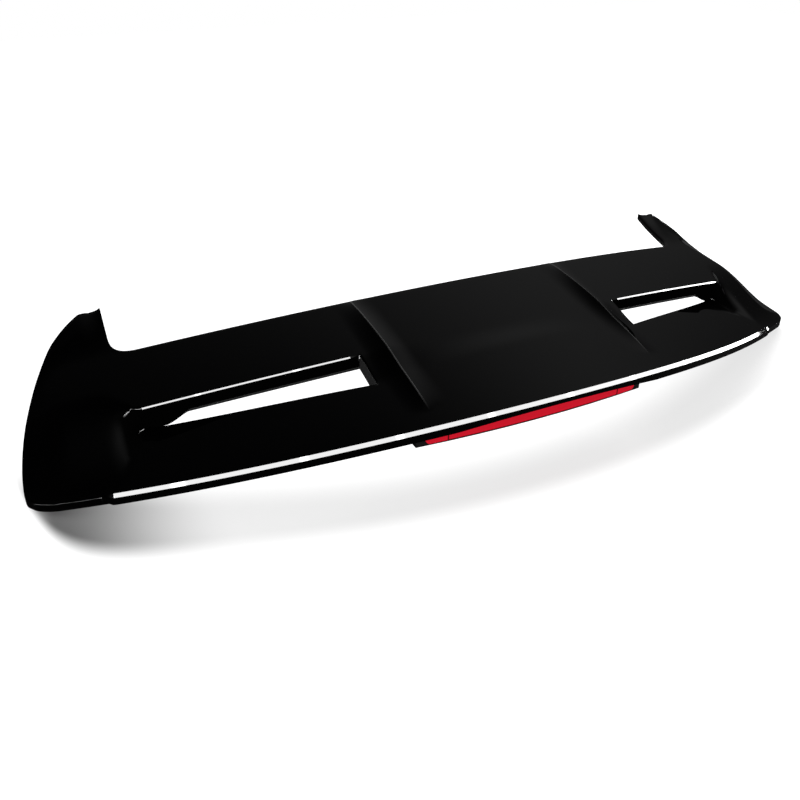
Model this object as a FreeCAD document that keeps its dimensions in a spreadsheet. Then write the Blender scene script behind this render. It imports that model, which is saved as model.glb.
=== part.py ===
import FreeCAD
import Part
import Sketcher
import math
import os

# Rear roof spoiler with a high-level brake lamp, in millimetres.
# X points right as seen from behind the car, Y points forward and Z points up.
# The zero point lies midway between the two inner studs, on the plane of their seats.

doc = FreeCAD.newDocument("RearSpoiler")
sheet = doc.addObject("Spreadsheet::Sheet", "Sizes")

# Driving sizes: name, value and meaning
SIZES = [
    ("half_width", 597.0, "half of the overall width"),
    ("front_mid_y", 34.0, "front edge, place on the centre line"),
    ("front_bow", 144.0, "front edge, how far it runs forward at the half width"),
    ("front_mid_z", 52.6, "front edge, height on the centre line"),
    ("front_droop", 90.4, "front edge, how far it falls at the half width"),
    ("lip_mid_y", -238.0, "lip, place on the centre line"),
    ("lip_bow", 270.0, "lip, how far it runs forward at the half width"),
    ("lip_bow_ease", 60.0, "lip, how much of that is taken back at the ends"),
    ("lip_mid_z", 12.0, "lip, height on the centre line"),
    ("lip_droop", 171.0, "lip, how far it falls at the half width"),
    ("lip_droop_ease", 59.0, "lip, how much of that is taken back at the ends"),
    ("lip_round", 8.0, "width of the rounded strip along the lip"),
    ("lip_round_drop", 5.0, "drop across the rounded strip"),
    ("deck_angle", 9.8, "slope of the front deck in degrees"),
    ("lip_angle", 8.5, "slope of the lip zone in degrees"),
    ("arm_lift", 17.0, "rise of an arm 100 ahead of the front edge"),
    ("arm_twist", 9.0, "extra rise of an arm's outer edge at its end"),
    ("side_roll", 36.0, "drop of the deck at the outer rim"),
    ("side_roll_width", 60.0, "width over which the outer rim rolls down"),
    ("crest_x", 158.0, "place of each fin's crest"),
    ("fin_height", 9.0, "height of the crest over the deck"),
    ("fin_outer_width", 26.0, "width of a fin's outer flank"),
    ("fin_inner_width", 28.0, "width of a fin's inner flank"),
    ("fin_rear_y", -185.0, "where the fins end at the rear crease"),
    ("slot_front_y", -77.0, "slot front edge, place on the centre line"),
    ("slot_bow", 133.0, "slot front edge, how far it runs forward at the half width"),
    ("slot_inner_x", 190.0, "inner end of each air slot"),
    ("slot_outer_x", 455.0, "outer end of each air slot"),
    ("slot_inner_width", 52.0, "width of a slot at its inner end"),
    ("slot_outer_width", 12.0, "width of a slot at its outer end"),
    ("scoop_start", 12.0, "how far inside the slot's outer end the scoop begins"),
    ("scoop_run", 70.0, "length over which the scoop opens"),
    ("scoop_spread", 150.0, "width that the scoop opens to"),
    ("slot_wall", 20.0, "height of the walls round a slot"),
    ("notch_x", 459.0, "inner edge of each arm"),
    ("notch_round", 30.0, "size of the rounding between arm and front edge"),
    ("arm_tip_y", 208.0, "front end of the arms"),
    ("arm_tip_width", 28.0, "width of an arm at its front end"),
    ("arm_step", 3.0, "depth of the step in the arm's end"),
    ("shoulder_x", 532.0, "outer rim, point on the shoulder"),
    ("shoulder_y", 187.0, "outer rim, point on the shoulder"),
    ("flank_x", 567.0, "outer rim, point on the flank"),
    ("flank_y", 131.0, "outer rim, point on the flank"),
    ("hip_drop", 5.0, "outer rim, how far the hip lies inside the half width"),
    ("hip_y", 52.0, "outer rim, point on the hip"),
    ("corner_y", -6.0, "outer rim, widest point"),
    ("lip_end_x", 560.0, "where the lip turns into the outer corner"),
    ("skin", 3.0, "thickness of the upper skin"),
    ("rim", 10.0, "height of the rim round the edge"),
    ("panel", 2.5, "thickness of the lower skin"),
    ("swell", 12.0, "how much deeper the body is at mid chord than at its rim"),
    ("fit_gap", 0.4, "gap between the lower skin and the upper skin's walls"),
    ("post_radius", 4.5, "radius of the screw posts"),
    ("screw_radius", 1.9, "radius of the skin screws"),
    ("screw_head_radius", 4.0, "radius of the skin screws' heads"),
    ("screw_head", 2.4, "height of the skin screws' heads"),
    ("screw_length", 9.0, "length of a skin screw under its head"),
    ("stud_radius", 3.0, "radius of the studs"),
    ("stud_reach", 24.0, "length of a stud below its seat"),
    ("stud_shoulder_radius", 4.6, "radius of a stud's plain shoulder in its boss"),
    ("stud_head_radius", 10.0, "radius of a stud's head"),
    ("stud_head", 3.0, "height of a stud's head"),
    ("inner_stud_x", 250.0, "place of the inner studs"),
    ("outer_stud_x", 520.0, "place of the outer studs"),
    ("outer_stud_y", 110.0, "place of the outer studs"),
    ("outer_seat_z", -54.0, "height of the outer studs' seats"),
    ("boss_radius", 17.0, "radius of the stud bosses"),
    ("boss_floor", 3.0, "thickness of a boss under the stud's head"),
    ("stud_gap", 0.2, "gap round a stud or screw in its hole"),
    ("head_room", 1.0, "gap round a stud's head in its boss"),
    ("seal_height", 4.0, "thickness of the foam washers"),
    ("seal_bore", 9.0, "inner radius of the foam washers"),
    ("tape_width", 10.0, "width of the foam tapes"),
    ("tape_height", 1.6, "thickness of the foam tapes"),
    ("glue", 0.5, "thickness of the glue over the foam tapes"),
    ("tape_inset", 14.0, "distance of the tapes from the edge"),
    ("tape_end_gap", 20.0, "distance of the front tape from the arms' roundings"),
    ("lamp_radius", 1800.0, "radius of the lamp's bow, seen from above"),
    ("lamp_face_y", -179.0, "lens face on the centre line"),
    ("lens_half", 154.0, "half of the lens's length"),
    ("lens_bottom_z", -52.8, "lower edge of the lens"),
    ("lens_height", 25.0, "height of the lens"),
    ("lens_wall", 3.0, "thickness of the lens"),
    ("lens_corner", 6.0, "rounding of the lens's lower corners"),
    ("lamp_box_half", 166.0, "half of the lamp box's length"),
    ("lamp_box_depth", 78.0, "depth of the lamp box"),
    ("lamp_box_floor_z", -55.8, "underside of the lamp box"),
    ("lens_proud", 2.0, "how far the lens stands out of the lamp box"),
    ("lens_gap", 0.3, "gap round the lens"),
    ("tub_inset", 3.0, "how much shorter the housing is at each end than the lens"),
    ("tub_drop", 1.0, "how much lower the housing is than the lens"),
    ("board_gap", 0.5, "gap round the circuit board in the housing"),
    ("tray_gap", 0.5, "gap beside and over the reflector in the housing"),
    ("tray_setback", 1.0, "gap between the reflector and the lens"),
    ("window_gap", 0.5, "gap round the diodes in the reflector"),
    ("gasket", 2.0, "thickness of the lamp gasket"),
    ("housing_depth", 26.0, "depth of the lamp housing"),
    ("housing_wall", 2.0, "wall of the lamp housing"),
    ("reflector_wall", 1.2, "wall of the reflector"),
    ("board", 1.6, "thickness of the circuit board"),
    ("led_size", 5.0, "width and height of a diode"),
    ("led_depth", 1.5, "thickness of a diode"),
    ("led_pitch", 22.0, "spacing of the diodes"),
    ("lamp_screw_x", 120.0, "place of the lamp's screws"),
    ("lug_reach", 14.0, "length of the housing's screw lugs"),
    ("lug_width", 16.0, "width of the housing's screw lugs"),
    ("lug_height", 6.0, "height of the housing's screw lugs"),
    ("lamp_screw_head_radius", 4.0, "radius of the lamp screws' heads"),
    ("lamp_screw_head", 2.2, "height of the lamp screws' heads"),
    ("lamp_screw_bite", 5.0, "depth of the lamp screws in their lugs"),
    ("gasket_width", 5.0, "width of the lamp gasket"),
    ("socket_wall", 1.6, "wall of the lamp's socket"),
    ("lamp_screw_radius", 2.0, "radius of the lamp's screws"),
    ("socket_width", 22.0, "width of the lamp's socket"),
    ("socket_height", 12.0, "height of the lamp's socket"),
    ("socket_length", 16.0, "length of the lamp's socket"),
    ("socket_floor", 3.0, "thickness of the socket's floor"),
    ("side_fall_run", 200.0, "length behind the shoulder over which the rim's roll grows"),
    ("side_fall_power", 0.8, "how quickly the rim's roll grows"),
]

for row, (alias, value, meaning) in enumerate(SIZES, start=1):
    sheet.set("A%d" % row, meaning)
    sheet.set("B%d" % row, repr(value))
    sheet.setAlias("B%d" % row, alias)
doc.recompute()


def size(alias):
    return float(sheet.get(alias))


half_width = size("half_width")
crest_x = size("crest_x")
skin = size("skin")
panel = size("panel")
rim = size("rim")
fit_gap = size("fit_gap")


# Lines of the form, each as a function of the distance from the centre line
def share(x):
    return (x / half_width) ** 2


def front_y(x):
    return size("front_mid_y") + size("front_bow") * share(x)


def front_z(x):
    return size("front_mid_z") - size("front_droop") * share(x)


def lip_y(x):
    ease = size("lip_bow_ease") * share(x) ** 2
    return size("lip_mid_y") + size("lip_bow") * share(x) - ease


def lip_z(x):
    ease = size("lip_droop_ease") * share(x) ** 2
    return size("lip_mid_z") - size("lip_droop") * share(x) + ease


def slot_front_y(x):
    return size("slot_front_y") + size("slot_bow") * share(x)


def slot_width(x):
    run = size("slot_outer_x") - size("slot_inner_x")
    part = (abs(x) - size("slot_inner_x")) / run
    part = min(1.0, max(0.0, part))
    return size("slot_inner_width") + (size("slot_outer_width") - size("slot_inner_width")) * part


def clamp(value):
    return min(1.0, max(0.0, value))


def smooth(value):
    value = clamp(value)
    return value * value * (3.0 - 2.0 * value)


# Beyond a slot's outer end the step between deck and lip zone opens into a shallow scoop
def scoop_spread(x):
    start = size("slot_outer_x") - size("scoop_start")
    return size("scoop_spread") * smooth((abs(x) - start) / size("scoop_run"))


# Outer rim of the right half, from the arm's end to the widest point
def rim_points():
    tip_x = size("notch_x") + size("arm_tip_width")
    return [
        (tip_x, size("arm_tip_y") - 1.0),
        (size("shoulder_x"), size("shoulder_y")),
        (size("flank_x"), size("flank_y")),
        (half_width - size("hip_drop"), size("hip_y")),
        (half_width, size("corner_y")),
    ]


def spline_through(points):
    curve = Part.BSplineCurve()
    curve.interpolate([FreeCAD.Vector(x, y, 0.0) for x, y in points])
    return curve


def along(curve, count):
    first = curve.FirstParameter
    last = curve.LastParameter
    places = [curve.value(first + (last - first) * i / count) for i in range(count + 1)]
    return [(place.x, place.y) for place in places]


rim_curve = along(spline_through(rim_points()), 40)


def side_x(y):
    best = rim_curve[0][0]
    for (x_a, y_a), (x_b, y_b) in zip(rim_curve, rim_curve[1:]):
        if y_b <= y <= y_a:
            best = x_a + (x_b - x_a) * (y_a - y) / max(1e-6, y_a - y_b)
    if y < rim_curve[-1][1]:
        best = rim_curve[-1][0]
    return best


# Height of the body's upper surface without fins and lip rounding
def base_height(x, y):
    x = abs(x)
    ahead = y - front_y(x)
    deck = front_z(x) + math.tan(math.radians(size("deck_angle"))) * ahead
    if ahead > 0.0:
        deck += size("arm_lift") * (ahead / 100.0) ** 2
        outward = smooth((x - size("notch_x")) / size("arm_tip_width"))
        deck += size("arm_twist") * outward * (ahead / 80.0) ** 2
    inside = (side_x(y) - x) / size("side_roll_width")
    fall = clamp((size("shoulder_y") - y) / size("side_fall_run")) ** size("side_fall_power")
    if inside < 1.0:
        deck -= size("side_roll") * fall * (1.0 - max(inside, -0.3)) ** 2
    lip = lip_z(x) + math.tan(math.radians(size("lip_angle"))) * (y - lip_y(x))
    spread = scoop_spread(x)
    front = slot_front_y(x) + 0.35 * spread
    rear = slot_front_y(x) - slot_width(x) - 0.65 * spread
    return lip + (deck - lip) * smooth((y - rear) / (front - rear))


def fin_rise(x, y):
    x = abs(x)
    length = front_y(crest_x) - size("fin_rear_y")
    part = (y - size("fin_rear_y")) / length
    if part <= 0.0 or part >= 1.0:
        return 0.0
    height = size("fin_height") * math.sin(math.pi * part) ** 0.7
    if x >= crest_x:
        reach = (x - crest_x) / size("fin_outer_width")
    else:
        reach = (crest_x - x) / size("fin_inner_width")
    return height * max(0.0, 1.0 - reach) ** 2


def top_height(x, y):
    back = y - lip_y(x)
    reach = clamp(1.0 - back / size("lip_round"))
    if back < 0.0:
        reach = 1.0 - back / size("lip_round")
    return base_height(x, y) + fin_rise(x, y) - size("lip_round_drop") * reach ** 2


def bottom_height(x, y):
    part = clamp((y - lip_y(x)) / (front_y(x) - lip_y(x)))
    return base_height(x, y) - rim - size("swell") * 4.0 * part * (1.0 - part)


# Smooth surface patches, with a sharp line along each crest
LIP_STEPS = [-8.0, 0.0, 4.0, 8.0, 14.0]
LIP_SHARES = [0.2, 0.42, 0.65, 0.85, 0.95]
SLOT_SHARES = [0.0, 0.35, 0.65, 1.0]
DECK_SHARES = [0.017, 0.047, 0.1, 0.18, 0.28, 0.38, 0.5, 0.63, 0.78, 1.0]


# Rows of control points: along the lip, up to the slot, across the slot and over the deck
def row_places(x):
    lip = lip_y(x)
    front = slot_front_y(x)
    rear = front - slot_width(x)
    start = lip + LIP_STEPS[-1]
    rows = [lip + step for step in LIP_STEPS]
    rows += [start + (rear - start) * part for part in LIP_SHARES]
    rows += [rear + (front - rear) * part for part in SLOT_SHARES]
    deck_run = size("arm_tip_y") + 100.0 - front
    rows += [front + deck_run * part for part in DECK_SHARES]
    return rows


def patch(stations, height):
    poles = [[FreeCAD.Vector(x, y, height(x, y)) for y in row_places(x)] for x in stations]
    rows = len(poles)
    columns = len(poles[0])
    surface = Part.BSplineSurface()
    surface.buildFromPolesMultsKnots(
        poles,
        [4] + [1] * (rows - 4) + [4],
        [4] + [1] * (columns - 4) + [4],
        [float(i) for i in range(rows - 2)],
        [float(i) for i in range(columns - 2)],
        False,
        False,
        3,
        3,
    )
    return surface.toShape()


# Columns of control points, closer together on the fins and round the slot's outer end
def outer_stations():
    width = size("fin_outer_width")
    stations = [crest_x + width * part for part in (0.0, 0.23, 0.54, 1.0, 1.7)]
    first = stations[-1]
    scoop = size("slot_outer_x") - size("scoop_start")
    stations += [first + (scoop - first) * i / 6.0 for i in range(1, 6)]
    stations += [scoop + size("scoop_run") * part for part in (0.0, 0.18, 0.35, 0.55, 0.8)]
    first = stations[-1]
    last = half_width + 20.0
    stations += [first + (last - first) * i / 5.0 for i in range(1, 6)]
    return stations


def inner_stations():
    width = size("fin_inner_width")
    stations = [crest_x - width * part for part in (0.0, 0.21, 0.5, 1.0)]
    first = stations[-1]
    stations += [first * part for part in (0.72, 0.45, 0.2)]
    return stations


def patches(height):
    right = outer_stations()
    left = [-x for x in reversed(right)]
    inner = inner_stations()
    middle = [-x for x in inner] + [0.0] + list(reversed(inner))
    return [patch(stations, height) for stations in (left, middle, right)]


def slab(faces, depth):
    solids = [face.extrude(FreeCAD.Vector(0.0, 0.0, -depth)) for face in faces]
    return solids[0].fuse(solids[1:])


# Plan outlines: a closed chain of points, where a mark tells a sharp corner
def half_outline():
    chain = []
    reach = size("notch_round")
    notch_x = size("notch_x")
    start = notch_x - reach
    count = 14
    for i in range(count + 1):
        x = start * i / count
        chain.append((x, front_y(x), False))
    corner = (notch_x, front_y(notch_x))
    first = (start, front_y(start))
    last = (notch_x, corner[1] + reach)
    for i in range(1, 9):
        k = i / 8.0
        x = first[0] * (1 - k) ** 2 + 2 * corner[0] * k * (1 - k) + last[0] * k * k
        y = first[1] * (1 - k) ** 2 + 2 * corner[1] * k * (1 - k) + last[1] * k * k
        chain.append((x, y, i == 8))
    tip_y = size("arm_tip_y")
    step = size("arm_step")
    third = size("arm_tip_width") / 2.0
    chain.append((notch_x - 2.0, tip_y, True))
    chain.append((notch_x + third, tip_y - step, True))
    points = rim_curve
    chain.append((points[0][0], points[0][1], True))
    for x, y in points[2::2]:
        chain.append((x, y, False))
    end_x = size("lip_end_x")
    first = points[-1]
    last = (end_x, lip_y(end_x))
    slope = lip_y(end_x) - lip_y(end_x - 1.0)
    corner = (half_width, last[1] + slope * (half_width - end_x))
    for i in range(1, 11):
        k = i / 10.0
        x = first[0] * (1 - k) ** 2 + 2 * corner[0] * k * (1 - k) + last[0] * k * k
        y = first[1] * (1 - k) ** 2 + 2 * corner[1] * k * (1 - k) + last[1] * k * k
        chain.append((x, y, False))
    count = 18
    for i in range(1, count + 1):
        x = end_x * (1 - i / count)
        chain.append((x, lip_y(x), False))
    return chain


def mirrored(chain):
    other = [(-x, y, mark) for x, y, mark in reversed(chain[1:-1])]
    return chain + other


def inset(chain, amount):
    moved = []
    count = len(chain)
    for i in range(count):
        x_0, y_0, _ = chain[i - 1]
        x_1, y_1, mark = chain[i]
        x_2, y_2, _ = chain[(i + 1) % count]
        a = math.hypot(x_1 - x_0, y_1 - y_0)
        b = math.hypot(x_2 - x_1, y_2 - y_1)
        n_a = ((y_1 - y_0) / a, -(x_1 - x_0) / a)
        n_b = ((y_2 - y_1) / b, -(x_2 - x_1) / b)
        n_x = n_a[0] + n_b[0]
        n_y = n_a[1] + n_b[1]
        scale = amount * 2.0 / max(0.6, n_x * n_x + n_y * n_y)
        moved.append((x_1 + n_x * scale, y_1 + n_y * scale, mark))
    return moved


def wire_of(chain):
    marks = [i for i, point in enumerate(chain) if point[2]]
    vectors = [FreeCAD.Vector(x, y, 0.0) for x, y, _ in chain]
    edges = []
    count = len(chain)
    for first, last in zip(marks, marks[1:] + [marks[0] + count]):
        run = [vectors[i % count] for i in range(first, last + 1)]
        if len(run) == 2:
            edges.append(Part.makeLine(run[0], run[1]))
        else:
            curve = Part.BSplineCurve()
            curve.interpolate(run)
            edges.append(curve.toShape())
    return Part.Wire(Part.__sortEdges__(edges))


def prism(chain, low, high):
    face = Part.Face(wire_of(chain))
    face.translate(FreeCAD.Vector(0.0, 0.0, low))
    return face.extrude(FreeCAD.Vector(0.0, 0.0, high - low))


def slot_outline(hand):
    inner_x = size("slot_inner_x")
    outer_x = size("slot_outer_x")
    round_end = size("slot_outer_width") / 2.0
    chain = []
    count = 12
    for i in range(count + 1):
        x = inner_x + (outer_x - inner_x) * i / count
        chain.append((x, slot_front_y(x), i == 0))
    centre_y = slot_front_y(outer_x) - round_end
    for i in range(1, 8):
        turn = math.pi / 2.0 - math.pi * i / 8.0
        chain.append((outer_x + round_end * math.cos(turn), centre_y + round_end * math.sin(turn), False))
    for i in range(count + 1):
        x = outer_x - (outer_x - inner_x) * i / count
        chain.append((x, slot_front_y(x) - slot_width(x), i == count))
    if hand < 0:
        chain = [(-x, y, mark) for x, y, mark in reversed(chain)]
    return chain


# Levels below and above the whole part, how far a cutting shape runs past a face,
# and how near two places count as the same
LOW = -260.0
HIGH = 220.0
OVERRUN = 1.0
NEAR = 0.01

outline = mirrored(half_outline())
top_faces = patches(top_height)
bottom_faces = patches(bottom_height)
whole = prism(outline, LOW, HIGH)
core = prism(inset(outline, skin), LOW, HIGH)
panel_plan = prism(inset(outline, skin + fit_gap), LOW, HIGH)
slots = [slot_outline(1), slot_outline(-1)]
slot_holes = [prism(chain, LOW, HIGH) for chain in slots]
slot_walls = [prism(inset(chain, -skin), LOW, HIGH) for chain in slots]
slot_rooms = [prism(inset(chain, -skin - fit_gap), LOW, HIGH) for chain in slots]

panel_top = [face.translated(FreeCAD.Vector(0.0, 0.0, panel)) for face in bottom_faces]
below_panel_top = slab(panel_top, 300.0)


# Places of the screws that join the two skins
def post_places():
    places = []
    for x, back in ((60.0, 40.0), (330.0, 34.0), (470.0, 36.0)):
        places.append((x, lip_y(x) + back))
    for x in (90.0, 340.0):
        places.append((x, front_y(x) - 36.0))
    places.append((size("shoulder_x") - 34.0, size("shoulder_y") - 28.0))
    return [(hand * x, y) for x, y in places for hand in (1, -1)]


def upright(radius, x, y, low, high):
    return Part.makeCylinder(radius, high - low, FreeCAD.Vector(x, y, low))


def add_feature(label, shape):
    feature = doc.addObject("Part::Feature", label)
    feature.Label = label
    feature.Shape = shape
    feature.Placement = FreeCAD.Placement()
    return feature


# Upper skin
upper = slab(top_faces, skin).common(whole)
upper_rim = slab(top_faces, rim).common(whole.cut(core))
rings = [wall.cut(hole) for wall, hole in zip(slot_walls, slot_holes)]
end_room = Part.makeBox(2.0 * (size("slot_inner_x") + fit_gap), 400.0, HIGH - LOW)
end_room.translate(FreeCAD.Vector(-size("slot_inner_x") - fit_gap, -300.0, LOW))
rings = [ring.cut(end_room) for ring in rings]
upper_walls = slab(top_faces, size("slot_wall")).common(rings[0].fuse(rings[1]))
posts = [upright(size("post_radius"), x, y, LOW, HIGH) for x, y in post_places()]
posts = slab(top_faces, 60.0).common(posts[0].fuse(posts[1:])).cut(below_panel_top)
upper = upper.fuse([upper_rim, upper_walls, posts]).cut(slot_holes[0].fuse(slot_holes[1]))
screw_bores = []
for x, y in post_places():
    floor = bottom_height(x, y)
    screw_bores.append(upright(size("screw_radius"), x, y, LOW, floor + size("screw_length")))
upper = upper.cut(screw_bores[0].fuse(screw_bores[1:])).removeSplitter()
add_feature("upper_skin", upper)
print("upper skin", upper.isValid(), len(upper.Solids), round(upper.Volume / 1000.0, 1), "cm3")

# Lower skin: panel, slot end walls, stud bosses and lamp box
lamp_centre_y = size("lamp_face_y") + size("lamp_radius")


def bowed(outer, inner, half, low, high):
    ring = Part.makeCylinder(outer, high - low, FreeCAD.Vector(0.0, lamp_centre_y, low))
    ring = ring.cut(Part.makeCylinder(inner, high - low, FreeCAD.Vector(0.0, lamp_centre_y, low)))
    block = Part.makeBox(2.0 * half, outer, high - low, FreeCAD.Vector(-half, lamp_centre_y - outer, low))
    return ring.common(block)


lower = slab(panel_top, panel).common(panel_plan)
lower = lower.cut(slot_rooms[0].fuse(slot_rooms[1]))
under_skin = [face.translated(FreeCAD.Vector(0.0, 0.0, -skin - fit_gap)) for face in top_faces]
between = slab(under_skin, 100.0).cut(slab(bottom_faces, 300.0))
inner_x = size("slot_inner_x")
end_front = slot_front_y(inner_x)
end_wall = 2.0 * fit_gap + skin + panel
end_walls = []
for start in (inner_x - end_wall, -inner_x):
    corner = FreeCAD.Vector(start, end_front - size("slot_inner_width") - skin, LOW)
    end_walls.append(Part.makeBox(end_wall, size("slot_inner_width") + 2.0 * skin, HIGH - LOW, corner))
end_walls = between.common(end_walls[0].fuse(end_walls[1]))

stud_places = []
for hand in (1, -1):
    stud_places.append((hand * size("inner_stud_x"), 0.0, 0.0))
    stud_places.append((hand * size("outer_stud_x"), size("outer_stud_y"), size("outer_seat_z")))
bosses = [upright(size("boss_radius"), x, y, z, HIGH) for x, y, z in stud_places]
bosses = below_panel_top.common(bosses[0].fuse(bosses[1:]))
box_face = size("lamp_radius") - size("lens_proud")
box_back = box_face - size("lamp_box_depth")
box_half = size("lamp_box_half")
box_floor = size("lamp_box_floor_z")
lamp_box = bowed(box_face, box_back, box_half, box_floor, HIGH).common(below_panel_top)
lower = lower.fuse([end_walls, bosses, lamp_box])
cuts = [bowed(box_face - panel, box_back + panel, box_half - panel, box_floor + panel, HIGH)]
lens_low = size("lens_bottom_z") - size("lens_gap")
lens_high = size("lens_bottom_z") + size("lens_height") + size("lens_gap")
lens_half = size("lens_half") + size("lens_gap")
window = bowed(box_face + OVERRUN, box_face - panel - OVERRUN, lens_half, lens_low, lens_high)
corner_round = size("lens_corner") + size("lens_gap")
corner_back = lamp_centre_y - size("lamp_radius") - OVERRUN
corner_depth = size("housing_depth")
forward = FreeCAD.Vector(0.0, 1.0, 0.0)
corner_x = lens_half - corner_round
for centre_x, start_x in ((corner_x, corner_x), (-corner_x, -lens_half)):
    block_place = FreeCAD.Vector(start_x, corner_back, lens_low)
    block = Part.makeBox(corner_round, corner_depth, corner_round, block_place)
    centre = FreeCAD.Vector(centre_x, corner_back, lens_low + corner_round)
    window = window.cut(block.cut(Part.makeCylinder(corner_round, corner_depth, centre, forward)))
cuts.append(window)
for x, y, z in stud_places:
    cuts.append(upright(size("stud_shoulder_radius") + size("stud_gap"), x, y, z - OVERRUN, HIGH))
    cuts.append(upright(size("stud_head_radius") + size("head_room"), x, y, z + size("boss_floor"), HIGH))
for x, y in post_places():
    cuts.append(upright(size("screw_radius") + size("stud_gap"), x, y, LOW, HIGH))
lug_radius = size("lamp_radius") - size("lens_wall") - size("housing_depth") - size("lug_reach") / 2.0
lug_y = lamp_centre_y - math.sqrt(lug_radius ** 2 - size("lamp_screw_x") ** 2)
lamp_bore = size("lamp_screw_radius") + size("stud_gap")
for hand in (1, -1):
    cuts.append(upright(lamp_bore, hand * size("lamp_screw_x"), lug_y, LOW, box_floor + panel + OVERRUN))
lower = lower.cut(cuts[0].fuse(cuts[1:])).removeSplitter()
print("lower skin", lower.isValid(), len(lower.Solids), round(lower.Volume / 1000.0, 1), "cm3")
add_feature("lower_skin", lower)


# Screws that join the two skins, driven up through the lower skin into the posts
skin_screws = []
for x, y in post_places():
    floor = min(bottom_height(x + dx, y + dy) for dx in (-4.0, 0.0, 4.0) for dy in (-4.0, 0.0, 4.0))
    shank = upright(size("screw_radius"), x, y, floor, bottom_height(x, y) + size("screw_length"))
    head = upright(size("screw_head_radius"), x, y, floor - size("screw_head"), floor)
    skin_screws.append(shank.fuse(head).removeSplitter())
add_feature("skin_screws", Part.makeCompound(skin_screws))


# Foam tapes on the underside
def tape(label, chain):
    shape = slab(bottom_faces, size("tape_height")).common(prism(chain, LOW, HIGH))
    shape.translate(FreeCAD.Vector(0.0, 0.0, -size("glue")))
    return add_feature(label, shape)


tape_inset = size("tape_inset")
tape_width = size("tape_width")
tape_end = size("notch_x") - size("notch_round") - size("tape_end_gap")
stations = [tape_end * i / 10.0 for i in range(-10, 11)]
near = [(x, front_y(x) - tape_inset, abs(x) == tape_end) for x in stations]
far = [(x, front_y(x) - tape_inset - tape_width, abs(x) == tape_end) for x in reversed(stations)]
tape("front_tape", near + far)
arm_run = rim_curve[10:32:3]
near = [(x - tape_inset, y, False) for x, y in arm_run]
far = [(x - tape_inset - tape_width, y, False) for x, y in reversed(arm_run)]
ends = (0, len(arm_run) - 1)
near = [(x, y, i in ends) for i, (x, y, mark) in enumerate(near)]
far = [(x, y, i in ends) for i, (x, y, mark) in enumerate(far)]
tape("right_arm_tape", near + far)
tape("left_arm_tape", [(-x, y, mark) for x, y, mark in reversed(near + far)])


# Studs and their foam washers, bound to the sheet
def cylinder(name, radius, height, x, y, z):
    item = doc.addObject("Part::Cylinder", name)
    item.setExpression("Radius", radius)
    item.setExpression("Height", height)
    item.setExpression("Placement.Base.x", x)
    item.setExpression("Placement.Base.y", y)
    item.setExpression("Placement.Base.z", z)
    return item


def joined(label, items):
    item = doc.addObject("Part::MultiFuse", label)
    item.Shapes = items
    item.Label = label
    return item


def stud_pair(label, x, y, seat):
    items = []
    for hand in ("", "-"):
        side = "Left" if hand else "Right"
        name = label + side
        reach = seat + " - Sizes.stud_reach"
        items.append(cylinder(name + "Shank", "Sizes.stud_radius", "Sizes.stud_reach", hand + x, y, reach))
        shoulder = "Sizes.stud_shoulder_radius"
        items.append(cylinder(name + "Shoulder", shoulder, "Sizes.boss_floor", hand + x, y, seat))
        top = seat + " + Sizes.boss_floor"
        items.append(cylinder(name + "Head", "Sizes.stud_head_radius", "Sizes.stud_head", hand + x, y, top))
    return joined(label, items)


def seal_pair(label, x, y, seat):
    items = []
    for hand in ("", "-"):
        name = label + ("Left" if hand else "Right")
        low = seat + " - Sizes.seal_height"
        ring = doc.addObject("Part::Cut", name)
        ring.Base = cylinder(name + "Disc", "Sizes.boss_radius", "Sizes.seal_height", hand + x, y, low)
        bore = "Sizes.seal_bore"
        ring.Tool = cylinder(name + "Bore", bore, "Sizes.seal_height", hand + x, y, low)
        items.append(ring)
    return joined(label, items)


INNER = ("Sizes.inner_stud_x", "0", "0")
OUTER = ("Sizes.outer_stud_x", "Sizes.outer_stud_y", "Sizes.outer_seat_z")
pieces = [
    stud_pair("inner_studs", *INNER),
    stud_pair("outer_studs", *OUTER),
    seal_pair("inner_stud_seals", *INNER),
    seal_pair("outer_stud_seals", *OUTER),
]


# Lamp pieces: strips bowed about one upright axis ahead of the lamp
def plane_of(body, role):
    return [item for item in body.Origin.OriginFeatures if item.Role == role][0]


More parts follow.
